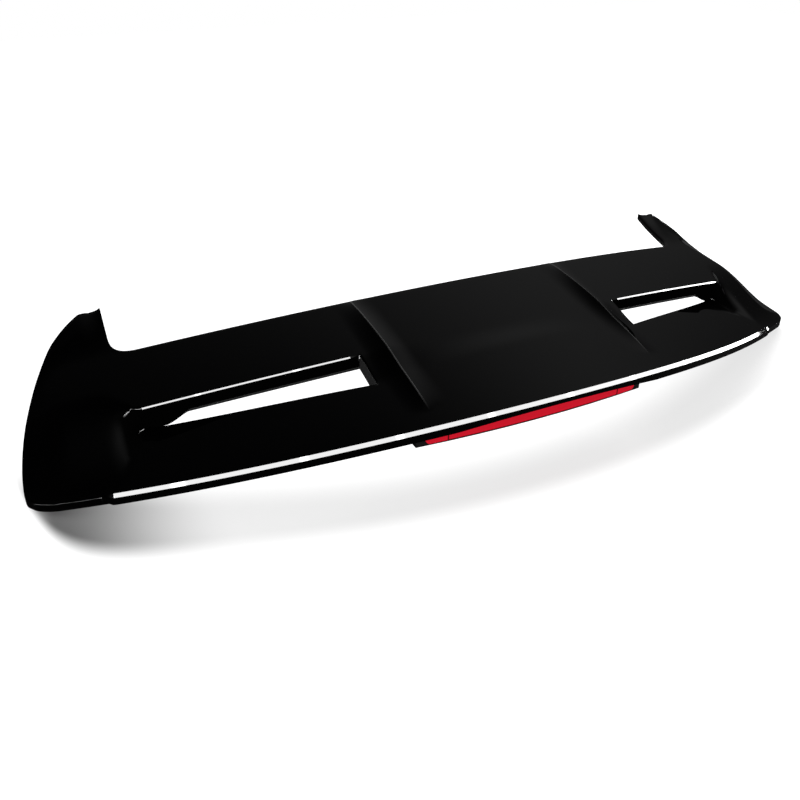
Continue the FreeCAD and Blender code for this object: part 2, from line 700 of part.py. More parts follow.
def bow_sketch(body, name, outer, inner, half, height):
    sketch = body.newObject("Sketcher::SketchObject", name)
    sketch.AttachmentSupport = [(plane_of(body, "XY_Plane"), "")]
    sketch.MapMode = "FlatFace"
    sketch.setExpression("AttachmentOffset.Base.z", height)
    start = size("lamp_radius")
    start_inner = start - size("housing_depth")
    start_half = size("lens_half")
    turn = math.asin(start_half / start)
    axis = FreeCAD.Vector(0.0, 0.0, 1.0)
    zero = FreeCAD.Vector(0.0, 0.0, 0.0)
    first = 1.5 * math.pi - turn
    last = 1.5 * math.pi + turn
    sketch.addGeometry(Part.ArcOfCircle(Part.Circle(zero, axis, start), first, last), False)
    sketch.addGeometry(Part.ArcOfCircle(Part.Circle(zero, axis, start_inner), first, last), False)
    ends = [sketch.getPoint(0, 1), sketch.getPoint(1, 1), sketch.getPoint(0, 2), sketch.getPoint(1, 2)]
    sketch.addGeometry(Part.LineSegment(ends[0], ends[1]), False)
    sketch.addGeometry(Part.LineSegment(ends[2], ends[3]), False)
    sketch.addConstraint(Sketcher.Constraint("Coincident", 0, 1, 2, 1))
    sketch.addConstraint(Sketcher.Constraint("Coincident", 1, 1, 2, 2))
    sketch.addConstraint(Sketcher.Constraint("Coincident", 0, 2, 3, 1))
    sketch.addConstraint(Sketcher.Constraint("Coincident", 1, 2, 3, 2))
    sketch.addConstraint(Sketcher.Constraint("Coincident", 0, 3, -1, 1))
    sketch.addConstraint(Sketcher.Constraint("Coincident", 1, 3, -1, 1))
    sketch.addConstraint(Sketcher.Constraint("Vertical", 2))
    sketch.addConstraint(Sketcher.Constraint("Vertical", 3))
    bound = []
    bound.append((sketch.addConstraint(Sketcher.Constraint("Radius", 0, start)), outer))
    bound.append((sketch.addConstraint(Sketcher.Constraint("Radius", 1, start_inner)), inner))
    bound.append((sketch.addConstraint(Sketcher.Constraint("DistanceX", 0, 1, -1, 1, start_half)), half))
    bound.append((sketch.addConstraint(Sketcher.Constraint("DistanceX", -1, 1, 0, 2, start_half)), half))
    for index, expression in bound:
        sketch.setExpression("Constraints[%d]" % index, expression)
    return sketch


def bow_pad(body, name, outer, inner, half, low, height):
    pad = body.newObject("PartDesign::Pad", name)
    pad.Profile = bow_sketch(body, name + "Sketch", outer, inner, half, low)
    pad.setExpression("Length", height)
    return pad


def bow_pocket(body, name, outer, inner, half, low, height):
    pocket = body.newObject("PartDesign::Pocket", name)
    pocket.Profile = bow_sketch(body, name + "Sketch", outer, inner, half, low)
    pocket.Reversed = True
    pocket.setExpression("Length", height)
    return pocket


def lamp_body(label):
    body = doc.addObject("PartDesign::Body", label)
    body.Label = label
    body.setExpression("Placement.Base.y", "Sizes.lamp_face_y + Sizes.lamp_radius")
    pieces.append(body)
    return body


LENS_BACK = "Sizes.lamp_radius - Sizes.lens_wall"
TUB_FRONT = LENS_BACK + " - Sizes.housing_depth"
TUB_FLOOR = TUB_FRONT + " + Sizes.housing_wall"
BOARD_FACE = TUB_FLOOR + " + Sizes.board"
TRAY_BACK = BOARD_FACE + " + Sizes.led_depth"
FLOOR_Z = "Sizes.lamp_box_floor_z + Sizes.panel"
TUB_HALF = "Sizes.lens_half - Sizes.tub_inset"
TUB_HEIGHT = "Sizes.lens_height - Sizes.tub_drop"

DIODES_PER_SIDE = 6
DIODE_LIFT = 0.005
PAST = " + %s" % OVERRUN
SHORT = " - %s" % OVERRUN

lens = lamp_body("lamp_lens")
LENS_FACE = "Sizes.lamp_radius"
LENS_HALF = "Sizes.lens_half"
LENS_Z = "Sizes.lens_bottom_z"
lens_pad = bow_pad(lens, "LensPad", LENS_FACE, LENS_BACK, LENS_HALF, LENS_Z, "Sizes.lens_height")
doc.recompute()
corners = []
for number, edge in enumerate(lens_pad.Shape.Edges, start=1):
    places = [vertex.Point for vertex in edge.Vertexes]
    low = all(abs(place.z - size("lens_bottom_z")) < NEAR for place in places)
    at_end = all(abs(abs(place.x) - size("lens_half")) < NEAR for place in places)
    if low and at_end and places[0].x * places[-1].x > 0.0:
        corners.append("Edge%d" % number)
lens_round = lens.newObject("PartDesign::Fillet", "LensCorners")
lens_round.Base = (lens_pad, corners)
lens_round.setExpression("Radius", "Sizes.lens_corner")

housing = lamp_body("lamp_housing")
bow_pad(housing, "TubPad", LENS_BACK, TUB_FRONT, TUB_HALF, FLOOR_Z, TUB_HEIGHT)
wall_low = FLOOR_Z + " + Sizes.housing_wall"
inner_half = TUB_HALF + " - Sizes.housing_wall"
inner_height = TUB_HEIGHT + " - 2 * Sizes.housing_wall"
doc.recompute()
bow_pocket(housing, "TubPocket", LENS_BACK + PAST, TUB_FLOOR, inner_half, wall_low, inner_height)

lug_inner = TUB_FRONT + " - Sizes.lug_reach"
lug_end = "Sizes.lamp_screw_x + Sizes.lug_width / 2"
lug_start = "Sizes.lamp_screw_x - Sizes.lug_width / 2"
bow_pad(housing, "LugPad", TUB_FRONT + PAST, lug_inner, lug_end, FLOOR_Z, "Sizes.lug_height")
doc.recompute()
bow_pocket(housing, "LugGap", TUB_FRONT, lug_inner + SHORT, lug_start, FLOOR_Z, "Sizes.lug_height")
LUG_Y = "sqrt((" + TUB_FRONT + " - Sizes.lug_reach / 2)^2 - Sizes.lamp_screw_x^2)"
bores = housing.newObject("Sketcher::SketchObject", "LugBores")
bores.AttachmentSupport = [(plane_of(housing, "XY_Plane"), "")]
bores.MapMode = "FlatFace"
bores.setExpression("AttachmentOffset.Base.z", FLOOR_Z)
for index, hand in enumerate((1.0, -1.0)):
    across = size("lamp_screw_x")
    back = math.sqrt(lug_radius ** 2 - across ** 2)
    centre = FreeCAD.Vector(hand * across, -back, 0.0)
    bores.addGeometry(Part.Circle(centre, FreeCAD.Vector(0.0, 0.0, 1.0), size("lamp_screw_radius")), False)
    place = (-1, 1, index, 3) if hand > 0 else (index, 3, -1, 1)
    first = bores.addConstraint(Sketcher.Constraint("DistanceX", *place, across))
    second = bores.addConstraint(Sketcher.Constraint("DistanceY", index, 3, -1, 1, back))
    third = bores.addConstraint(Sketcher.Constraint("Radius", index, size("lamp_screw_radius")))
    bores.setExpression("Constraints[%d]" % first, "Sizes.lamp_screw_x")
    bores.setExpression("Constraints[%d]" % second, LUG_Y)
    bores.setExpression("Constraints[%d]" % third, "Sizes.lamp_screw_radius")
doc.recompute()
bore_pocket = housing.newObject("PartDesign::Pocket", "LugBorePocket")
bore_pocket.Profile = bores
bore_pocket.Reversed = True
bore_pocket.setExpression("Length", "Sizes.lamp_screw_bite")

board = lamp_body("lamp_board")
board_half = inner_half + " - Sizes.board_gap"
board_height = inner_height + " - 2 * Sizes.board_gap"
board_low = wall_low + " + Sizes.board_gap"
bow_pad(board, "BoardPad", BOARD_FACE, TUB_FLOOR, board_half, board_low, board_height)

reflector = lamp_body("lamp_reflector")
tray_face = LENS_BACK + " - Sizes.tray_setback"
tray_half = inner_half + " - Sizes.tray_gap"
tray_height = inner_height + " - Sizes.tray_gap"
bow_pad(reflector, "TrayPad", tray_face, BOARD_FACE, tray_half, wall_low, tray_height)
doc.recompute()
tray_floor = BOARD_FACE + " + Sizes.reflector_wall"
tray_low = wall_low + " + Sizes.reflector_wall"
tray_inner_half = tray_half + " - Sizes.reflector_wall"
tray_inner_height = tray_height + " - 2 * Sizes.reflector_wall"
tray_mouth = tray_face + PAST
bow_pocket(reflector, "TrayPocket", tray_mouth, tray_floor, tray_inner_half, tray_low, tray_inner_height)
doc.recompute()
LED_LOW = wall_low + " + (" + tray_height + " - Sizes.led_size) / 2"
window_half = "%d * Sizes.led_pitch + Sizes.led_size" % DIODES_PER_SIDE
window_low = LED_LOW + " - Sizes.window_gap"
window_height = "Sizes.led_size + 2 * Sizes.window_gap"
window_back = BOARD_FACE + SHORT
bow_pocket(reflector, "TrayWindow", tray_floor + PAST, window_back, window_half, window_low, window_height)

# Row of diodes on the board
diodes = []
board_back = size("lamp_radius") - size("lens_wall") - size("housing_depth") + size("housing_wall")
board_face = board_back + size("board")
for index in range(-DIODES_PER_SIDE, DIODES_PER_SIDE + 1):
    diode = doc.addObject("Part::Box", "Diode%d" % (index + DIODES_PER_SIDE + 1))
    diode.setExpression("Length", "Sizes.led_size")
    diode.setExpression("Width", "Sizes.led_depth")
    diode.setExpression("Height", "Sizes.led_size")
    turn = index * size("led_pitch") / board_face
    face = board_face + size("led_depth") + DIODE_LIFT
    x = face * math.sin(turn) - size("led_size") / 2.0 * math.cos(turn)
    y = lamp_centre_y - face * math.cos(turn) - size("led_size") / 2.0 * math.sin(turn)
    spin = FreeCAD.Rotation(FreeCAD.Vector(0.0, 0.0, 1.0), math.degrees(turn))
    diode.Placement = FreeCAD.Placement(FreeCAD.Vector(x, y, 0.0), spin)
    diode.setExpression("Placement.Base.z", LED_LOW)
    diodes.append(diode)
pieces.append(joined("lamp_leds", diodes))

# Foam seal over the top and the ends of the housing
gasket = lamp_body("lamp_gasket")
WALL_FACE = "Sizes.lamp_radius - Sizes.lens_proud - Sizes.panel"
gasket_back = WALL_FACE + " - Sizes.gasket"
gasket_half = TUB_HALF + " + Sizes.gasket_width"
gasket_height = TUB_HEIGHT + " + Sizes.gasket_width"
bow_pad(gasket, "GasketPad", WALL_FACE, gasket_back, gasket_half, FLOOR_Z, gasket_height)
doc.recompute()
bow_pocket(gasket, "GasketPocket", WALL_FACE + PAST, gasket_back + SHORT, TUB_HALF, FLOOR_Z, TUB_HEIGHT)

# Socket on the housing's front
socket = lamp_body("lamp_connector")
socket_back = TUB_FRONT + " - Sizes.socket_length"
socket_half = "Sizes.socket_width / 2"
socket_low = FLOOR_Z + " + Sizes.lug_height"
bow_pad(socket, "SocketPad", TUB_FRONT, socket_back, socket_half, socket_low, "Sizes.socket_height")
doc.recompute()
room_half = socket_half + " - Sizes.socket_wall"
room_low = socket_low + " + Sizes.socket_wall"
room_height = "Sizes.socket_height - 2 * Sizes.socket_wall"
room_floor = TUB_FRONT + " - Sizes.socket_floor"
bow_pocket(socket, "SocketPocket", room_floor, socket_back + SHORT, room_half, room_low, room_height)

# Screws of the lamp, driven up through the box floor
lamp_screws = []
screw_y = "Sizes.lamp_face_y + Sizes.lamp_radius - " + LUG_Y
for hand in ("", "-"):
    name = "LampScrew" + ("Left" if hand else "Right")
    x = hand + "Sizes.lamp_screw_x"
    length = "Sizes.panel + Sizes.lamp_screw_bite"
    low = "Sizes.lamp_box_floor_z"
    lamp_screws.append(cylinder(name + "Shank", "Sizes.lamp_screw_radius", length, x, screw_y, low))
    low = "Sizes.lamp_box_floor_z - Sizes.lamp_screw_head"
    radius = "Sizes.lamp_screw_head_radius"
    lamp_screws.append(cylinder(name + "Head", radius, "Sizes.lamp_screw_head", x, screw_y, low))
pieces.append(joined("lamp_screws", lamp_screws))

# Check every object and write one file for each piece
doc.recompute()
for item in doc.Objects:
    if "Invalid" in item.State or "Error" in item.State:
        raise RuntimeError("failed object: " + item.Label)
labels = ["upper_skin", "lower_skin", "skin_screws", "front_tape", "right_arm_tape", "left_arm_tape"]
labels += [piece.Label for piece in pieces]
shapes = {}
for label in labels:
    shape = doc.getObjectsByLabel(label)[0].Shape
    if shape.isNull() or not shape.isValid() or not shape.Solids:
        raise RuntimeError("bad shape: " + label)
    shapes[label] = shape
os.makedirs("parts", exist_ok=True)
for label, shape in shapes.items():
    shape.exportStep("parts/%s.step" % label)
    print(label, len(shape.Solids), "solids", round(shape.Volume / 1000.0, 2), "cm3")
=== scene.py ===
# %% [markdown]
# A gloss black roof spoiler with a brake lamp under its lip.
# The measured CAD model comes first and stays where it is. It could be shown as it stands, but
# lacquer shows each flat facet of a coarse mesh. So Blender gives every piece its finish, lays a
# finer skin in place of the one that mirrors the light, and cuts a thread on the studs.

# %% Load the frame
import math

import bmesh
import bpy
import numpy as np
from mathutils import Matrix, Vector


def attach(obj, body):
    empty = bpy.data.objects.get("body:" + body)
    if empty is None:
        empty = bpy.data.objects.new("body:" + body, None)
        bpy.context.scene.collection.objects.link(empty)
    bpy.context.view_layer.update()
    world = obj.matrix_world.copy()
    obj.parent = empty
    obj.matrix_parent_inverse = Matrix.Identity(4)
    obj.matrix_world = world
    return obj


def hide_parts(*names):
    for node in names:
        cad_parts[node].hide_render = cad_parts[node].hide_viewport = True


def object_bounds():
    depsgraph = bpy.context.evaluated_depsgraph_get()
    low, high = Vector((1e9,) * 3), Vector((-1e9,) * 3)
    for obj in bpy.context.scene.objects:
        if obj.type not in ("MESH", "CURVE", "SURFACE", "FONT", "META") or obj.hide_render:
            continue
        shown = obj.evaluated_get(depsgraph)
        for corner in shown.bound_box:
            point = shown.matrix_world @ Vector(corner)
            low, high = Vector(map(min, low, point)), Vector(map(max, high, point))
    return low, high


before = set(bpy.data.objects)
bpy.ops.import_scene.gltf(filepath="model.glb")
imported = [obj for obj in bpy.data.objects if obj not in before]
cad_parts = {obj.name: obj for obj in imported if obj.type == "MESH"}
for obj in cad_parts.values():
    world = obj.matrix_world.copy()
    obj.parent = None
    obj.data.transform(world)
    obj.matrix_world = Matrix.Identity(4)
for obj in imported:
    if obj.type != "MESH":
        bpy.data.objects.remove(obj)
cad_low, cad_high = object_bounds()
MM = 0.001
print("CAD box in mm", [round(v / MM, 1) for v in cad_low], [round(v / MM, 1) for v in cad_high])

# %% [markdown]
# The photograph looks down on the spoiler from behind and to the left. A camera with a level
# horizon is enough: its place and two turns were found from edges that are mirror images of
# each other on the left and the right wing.

# %% Camera
SENSOR_WIDTH = 36.0
FOCAL_LENGTH = 38.25
CAMERA_PLACE = Vector((-545.5, -917.4, 508.1)) * MM
CAMERA_PITCH = 30.68
CAMERA_HEADING = -25.62

camera_data = bpy.data.cameras.new("camera")
camera_data.sensor_width = SENSOR_WIDTH
camera_data.lens = FOCAL_LENGTH
camera = bpy.data.objects.new("camera", camera_data)
camera.location = CAMERA_PLACE
camera.rotation_euler = (math.radians(90.0 - CAMERA_PITCH), 0.0, math.radians(CAMERA_HEADING))
bpy.context.scene.collection.objects.link(camera)
bpy.context.scene.camera = camera
bpy.context.scene.view_settings.view_transform = "Standard"
print("camera looks down by", CAMERA_PITCH, "degrees")

# %% [markdown]
# Materials are written as sums. Nodes could be added one by one, but then a short formula fills
# a page. Here one small class holds an output socket, and the usual signs between two of them add
# the Math nodes. Every other kind of node comes from one function that takes its type, its
# settings and what goes into its sockets.


# %% Node sums
class Wire:
    def __init__(self, tree, socket):
        self.tree = tree
        self.socket = socket

    def math(self, operation, *others):
        return add_node(self.tree, "ShaderNodeMath", {"operation": operation}, [self, *others])

    def __add__(self, other):
        return self.math("ADD", other)

    def __sub__(self, other):
        return self.math("SUBTRACT", other)

    def __mul__(self, other):
        return self.math("MULTIPLY", other)

    def __truediv__(self, other):
        return self.math("DIVIDE", other)

    def __pow__(self, other):
        return self.math("POWER", other)

    def __rsub__(self, other):
        return add_node(self.tree, "ShaderNodeMath", {"operation": "SUBTRACT"}, [other, self])

    __radd__ = __add__
    __rmul__ = __mul__


def add_node(tree, kind, settings=None, inputs=None, output=0):
    node = tree.nodes.new(kind)
    for name, value in (settings or {}).items():
        setattr(node, name, value)
    pairs = inputs.items() if isinstance(inputs, dict) else enumerate(inputs or [])
    for key, value in pairs:
        if isinstance(value, Wire):
            tree.links.new(value.socket, node.inputs[key])
        else:
            node.inputs[key].default_value = value
    return Wire(tree, node.outputs[output])


print("node sums ready")

# %% [markdown]
# A few patterns come back in many finishes: the place on the piece, one axis of it, a soft step
# between two values, noise, a bump and a mix of two colours. They get short names here.

# %% Patterns
# The Mix node has sockets for every kind of data; these are the ones for colours
MIX_FACTOR = 0
MIX_FIRST_COLOUR = 6
MIX_SECOND_COLOUR = 7
MIX_COLOUR_RESULT = 2


def mixed(tree, factor, first, second):
    inputs = {MIX_FACTOR: factor, MIX_FIRST_COLOUR: first, MIX_SECOND_COLOUR: second}
    return add_node(tree, "ShaderNodeMix", {"data_type": "RGBA"}, inputs, output=MIX_COLOUR_RESULT)


def place_on(tree):
    return add_node(tree, "ShaderNodeTexCoord", output="Object")


def axis_of(tree, vector, axis):
    return add_node(tree, "ShaderNodeSeparateXYZ", {}, [vector], output=axis)


def ramp(tree, value, low, high):
    settings = {"interpolation_type": "SMOOTHSTEP"}
    return add_node(tree, "ShaderNodeMapRange", settings, [value, low, high, 0.0, 1.0])


def noise_on(tree, scale, detail=2.0):
    inputs = {"Vector": place_on(tree), "Scale": scale, "Detail": detail}
    return add_node(tree, "ShaderNodeTexNoise", {}, inputs)


def bumped(tree, height, strength, distance):
    inputs = {"Height": height, "Strength": strength, "Distance": distance * MM}
    return add_node(tree, "ShaderNodeBump", {}, inputs)


def ray_kinds(tree):
    node = tree.nodes.new("ShaderNodeLightPath")
    names = ("Is Camera Ray", "Is Glossy Ray", "Is Transmission Ray")
    return [Wire(tree, node.outputs[name]) for name in names]


print("patterns ready")

# %% [markdown]
# The room. The photograph has a white backdrop, but its lacquer is black, because it mirrors a
# dark room. One white world would turn the lacquer grey. So the world is white for the camera
# alone, and mirrored rays see a dark room with three soft glows: one ahead and one high on the
# right, which the deck and the right wing catch, and one behind, which shows the form when it is
# seen from the front. All other rays bring a plain fill light.

# %% World
WHITE = (1.0, 1.0, 1.0, 1.0)
ROOM_GLOW = 0.001
FILL = 0.45
# Direction, strength and how narrow the glow is
GLOWS = [
    (Vector((0.34, 0.87, 0.30)), 0.095, 8.0),
    (Vector((0.65, 0.15, 0.75)), 0.10, 12.0),
    (Vector((0.0, -0.80, 0.55)), 0.30, 3.0),
]


def toward(tree, look, direction):
    settings = {"operation": "DOT_PRODUCT"}
    near = add_node(tree, "ShaderNodeVectorMath", settings, [look, direction], output="Value")
    return near.math("MAXIMUM", 0.0)


def studio_world():
    world = bpy.data.worlds.new("studio")
    world.use_nodes = True
    tree = world.node_tree
    tree.nodes.clear()
    camera_ray, mirror_ray, clear_ray = ray_kinds(tree)
    look = add_node(tree, "ShaderNodeTexCoord", output="Generated")
    sweep = ROOM_GLOW
    for direction, strength, focus in GLOWS:
        sweep = sweep + strength * toward(tree, look, direction.normalized()) ** focus
    direct = (camera_ray + mirror_ray + clear_ray).math("MINIMUM", 1.0)
    light = camera_ray + (mirror_ray + clear_ray) * sweep + FILL * (1 - direct)
    back = add_node(tree, "ShaderNodeBackground", {}, {"Color": WHITE, "Strength": light})
    out = tree.nodes.new("ShaderNodeOutputWorld")
    tree.links.new(back.socket, out.inputs["Surface"])
    bpy.context.scene.world = world


studio_world()
print("world with", len(GLOWS), "soft glows")

# %% [markdown]
# The floor. It is white for the camera and dark in the mirror image. The photograph keeps a
# shadow only in a band behind the object, darkest at the left end, and lamps alone don't give
# that. So the floor glows less between two bowed lines, and the real shadow adds to it there.
# From below the floor is clear, so that it doesn't hide the underside.

# %% Floor
FLOOR_SPAN = 8.0
FLOOR_TONE = 0.25
MIRROR_TONE = 0.05
FULL_GLOW = 1.05
# The band of painted shadow, in metres: its front and rear line, its two ends and where it grows lighter
FRONT_BOW = 0.60
FRONT_EDGE = (-0.208, -0.108)
REAR_BOW = 0.39
REAR_EDGE = (-0.27, -0.22)
REAR_CURL = 0.12
CURL_X = 0.6
CURL_POWER = 24.0
SIDE_ENDS = (0.57, 0.625)
SHADOW_GLOW = 0.74
SHADOW_FADE = (-0.58, -0.38)


# The floor glows white, but glows less inside the band, and that drop is a painted shadow
def floor_glow_with_painted_shadow(tree):
    place = place_on(tree)
    across = axis_of(tree, place, "X")
    along = axis_of(tree, place, "Y")
    aside = across.math("ABSOLUTE")
    curl = REAR_CURL * (aside / CURL_X) ** CURL_POWER
    front = ramp(tree, along - FRONT_BOW * across ** 2, *FRONT_EDGE)
    rear = 1 - ramp(tree, along - REAR_BOW * across ** 2 - curl, *REAR_EDGE)
    ends = ramp(tree, aside, *SIDE_ENDS)
    clear = 1 - (1 - front) * (1 - rear) * (1 - ends)
    least = SHADOW_GLOW * ramp(tree, across, *SHADOW_FADE)
    return least * (1 - clear) + FULL_GLOW * clear


def floor_white():
    material = bpy.data.materials.new("floor_white")
    material.use_nodes = True
    tree = material.node_tree
    tree.nodes.clear()
    camera_ray, mirror_ray, _ = ray_kinds(tree)
    tone = FLOOR_TONE * (1 - (1.0 - MIRROR_TONE) * mirror_ray)
    matt = add_node(tree, "ShaderNodeBsdfDiffuse", {}, {"Color": tone})
    light = add_node(tree, "ShaderNodeEmission", {}, {"Strength": floor_glow_with_painted_shadow(tree) * camera_ray})
    both = add_node(tree, "ShaderNodeAddShader", {}, [matt, light])
    under = add_node(tree, "ShaderNodeNewGeometry", output="Backfacing")
    clear_back = add_node(tree, "ShaderNodeBsdfTransparent")
    seen = add_node(tree, "ShaderNodeMixShader", {}, [under, both, clear_back])
    out = tree.nodes.new("ShaderNodeOutputMaterial")
    tree.links.new(seen.socket, out.inputs["Surface"])
    return material


def studio_floor():
    bm = bmesh.new()
    bmesh.ops.create_grid(bm, x_segments=1, y_segments=1, size=FLOOR_SPAN / 2.0)
    bmesh.ops.translate(bm, verts=bm.verts, vec=(0.0, 0.0, cad_low.z))
    mesh = bpy.data.meshes.new("floor")
    bm.to_mesh(mesh)
    bm.free()
    floor = bpy.data.objects.new("floor", mesh)
    bpy.context.scene.collection.objects.link(floor)
    mesh.materials.append(floor_white())


studio_floor()
print("floor at", round(cad_low.z / MM, 1), "mm")

# %% [markdown]
# The lamps. The white line along the lip is lamp light in a narrow facet. One straight lamp would
# fill only part of that line, because the lip bows, so ten short strips follow the bow that the
# facet mirrors. Their light shows in mirrors only. One key lamp ahead on the right gives the matt
# pieces their light and the object its shadow, and no mirror shows it.

# %% Lamps
STRIP_WIDTH = 0.22
STRIP_OVERLAP = 1.10
STRIP_BRIGHTNESS = 11.0
STRIP_BOW = [
    (-2.05, 0.14, 0.34),
    (-1.72, -0.16, 0.58),
    (-1.38, -0.40, 0.78),
    (-0.99, -0.63, 0.98),
    (-0.51, -0.78, 1.12),
    (0.10, -0.83, 1.14),
    (0.71, -0.73, 0.99),
    (1.15, -0.50, 0.70),
    (1.40, -0.20, 0.37),
    (1.45, 0.02, 0.10),
    (1.40, 0.20, -0.04),
]
AIM = Vector((0.0, -0.1, 0.0))
KEY_PLACE = Vector((1.25, 1.00, 0.75))
KEY_ALONG = Vector((1.0, 0.0, 0.0))
KEY_SIZE = (1.1, 0.8)
KEY_BRIGHTNESS = 20.0


def area_lamp(name, place, along, wide, tall, brightness):
    lamp = bpy.data.lights.new(name, "AREA")
    lamp.shape = "RECTANGLE"
    lamp.size = wide
    lamp.size_y = tall
    lamp.energy = brightness * math.pi * wide * tall
    item = bpy.data.objects.new(name, lamp)
    back = (place - AIM).normalized()
    across = (along - back * along.dot(back)).normalized()
    turn = Matrix((across, back.cross(across), back)).transposed()
    item.matrix_world = Matrix.Translation(place) @ turn.to_4x4()
    bpy.context.scene.collection.objects.link(item)
    return item


for index, (first, last) in enumerate(zip(STRIP_BOW, STRIP_BOW[1:])):
    run = Vector(last) - Vector(first)
    middle = (Vector(first) + Vector(last)) / 2.0
    reach = run.length * STRIP_OVERLAP
    strip = area_lamp("strip_%d" % index, middle, run, reach, STRIP_WIDTH, STRIP_BRIGHTNESS)
    strip.visible_diffuse = False
key = area_lamp("key", KEY_PLACE, KEY_ALONG, *KEY_SIZE, KEY_BRIGHTNESS)
key.visible_glossy = False
print("lamps", len(bpy.data.lights))

# %% [markdown]
# The form lines of the upper skin. On the real part they are the styling curves that the mould is
# cut from. The shape could be read from the CAD mesh, but the facets would come with it, so the
# curves are worked out again, in millimetres, as functions of the distance from the centre line.
# The slots differ from the CAD model: here they run out to a point, as in the photograph.

# %% Form lines in plan
HALF_WIDTH = 597.0
FRONT_Y = 34.0
FRONT_SWEEP = 144.0
LIP_Y = -238.0
LIP_SWEEP = 270.0
LIP_BEND = 60.0
SLOT_FRONT_Y = -77.0
SLOT_BOW = 133.0
SLOT_INNER_X = 190.0
SLOT_TIP_X = 428.0
SLOT_INNER_WIDTH = 51.3
SLOT_TAPER = 0.213
UNDERCUT = 5.0
TIP_RUN = 18.0
# Beyond a slot's tip the step between lip and deck opens into a shallow scoop
SCOOP_X = 450.0
SCOOP_RUN = 46.0
SCOOP_REAR = 97.0
SCOOP_FRONT = 52.0


def share(x):
    return (x / HALF_WIDTH) ** 2


def clamp(value):
    return min(1.0, max(0.0, value))


def smooth(value):
    value = clamp(value)
    return value * value * (3.0 - 2.0 * value)


def front_y(x):
    return FRONT_Y + FRONT_SWEEP * share(x)


def lip_y(x):
    return LIP_Y + LIP_SWEEP * share(x) - LIP_BEND * share(x) ** 2


def slot_front_y(x):
    return SLOT_FRONT_Y + SLOT_BOW * share(x)


def slot_width(x):
    past = max(0.0, abs(x) - SLOT_INNER_X)
    under = UNDERCUT * smooth((abs(x) - SLOT_TIP_X) / TIP_RUN)
    return max(0.0, SLOT_INNER_WIDTH - SLOT_TAPER * past) - under


def scoop_part(x):
    return smooth((abs(x) - SCOOP_X) / SCOOP_RUN)


def step_rear(x):
    return slot_front_y(x) - slot_width(x) - SCOOP_REAR * scoop_part(x)


def step_front(x):
    return slot_front_y(x) + SCOOP_FRONT * scoop_part(x)


print("slot width at its tip", round(slot_width(SLOT_TIP_X), 2), "mm")

# %% [markdown]
# The rim of a wing is one smooth line through five points. A Blender curve could pass through
# them, but its handles would have to be guessed. A cubic spline needs no handles: each piece
# meets the next with the same slope and bend, and the end slopes come from the nearest points.

# %% Rim line
RIM_POINTS = [(487.0, 207.0), (532.0, 187.0), (567.0, 131.0), (592.0, 52.0), (597.0, -6.0)]
RIM_SAMPLES = 80
END_POINTS = 4


def distances(line):
    steps = np.linalg.norm(np.diff(line, axis=0), axis=1)
    return np.concatenate(([0.0], np.cumsum(steps)))


def end_slope(at, values, place):
    cubic = np.polyfit(at, values, END_POINTS - 1)
    return np.polyval(np.polyder(cubic), place)


def rim_slopes(places, at, steps):
    last = len(at) - 1
    matrix = np.eye(last + 1)
    slopes = np.zeros((last + 1, 2))
    for axis in range(2):
        slopes[0, axis] = end_slope(at[:END_POINTS], places[:END_POINTS, axis], at[0])
        slopes[last, axis] = end_slope(at[-END_POINTS:], places[-END_POINTS:, axis], at[last])
    for i in range(1, last):
        before = steps[i - 1]
        after = steps[i]
        matrix[i, i - 1:i + 2] = (after, 2.0 * (before + after), before)
        come = after * (places[i] - places[i - 1]) / before
        leave = before * (places[i + 1] - places[i]) / after
        slopes[i] = 3.0 * (come + leave)
    return np.linalg.solve(matrix, slopes)


def rim_line():
    places = np.array(RIM_POINTS)
    steps = np.linalg.norm(np.diff(places, axis=0), axis=1)
    at = distances(places)
    slopes = rim_slopes(places, at, steps)
    last = len(at) - 1
    line = []
    for place in np.linspace(0.0, at[last], RIM_SAMPLES):
        i = min(int(np.searchsorted(at, place, side="right")) - 1, last - 1)
        k = (place - at[i]) / steps[i]
        start = places[i] * (1 + 2 * k) * (1 - k) ** 2 + places[i + 1] * k * k * (3 - 2 * k)
        lean = slopes[i] * k * (1 - k) ** 2 - slopes[i + 1] * k * k * (1 - k)
        line.append(start + steps[i] * lean)
    return np.array(line)


RIM_LINE = rim_line()


def side_x(y):
    return float(np.interp(y, RIM_LINE[::-1, 1], RIM_LINE[::-1, 0]))


print("rim line length", round(float(distances(RIM_LINE)[-1]), 1), "mm")

# %% [markdown]
# The heights. The deck slopes down to the slots, the lip zone lies lower, and one blends into the
# other over the step between them. The arms curl up in front of the deck, the wings fall towards
# their rims, and a sharp fin rises on each side of the middle.

# %% Heights
FRONT_Z = 52.6
FRONT_FALL = 90.4
DECK_SLOPE = math.tan(math.radians(9.8))
LIP_Z = 12.0
LIP_FALL = 171.0
LIP_LIFT = 59.0
LIP_SLOPE = math.tan(math.radians(8.5))
NOTCH_X = 459.0
ARM_TIP_WIDTH = 28.0
NOSE_RISE = 17.0
NOSE_RUN = 100.0
ARM_RISE = 9.0
ARM_RUN = 80.0
SIDE_RUN = 60.0
SIDE_PAST = -0.3
SIDE_FALL = 36.0
SIDE_FALL_Y = 187.0
SIDE_FALL_RUN = 200.0
SIDE_FALL_POWER = 0.8
CREST_X = 158.0
FIN_REAR_Y = -185.0
FIN_INNER_RUN = 28.0
FIN_OUTER_RUN = 26.0
FIN_HEIGHT = 9.0
FIN_POWER = 0.7


def front_z(x):
    return FRONT_Z - FRONT_FALL * share(x)


def lip_z(x):
    return LIP_Z - LIP_FALL * share(x) + LIP_LIFT * share(x) ** 2


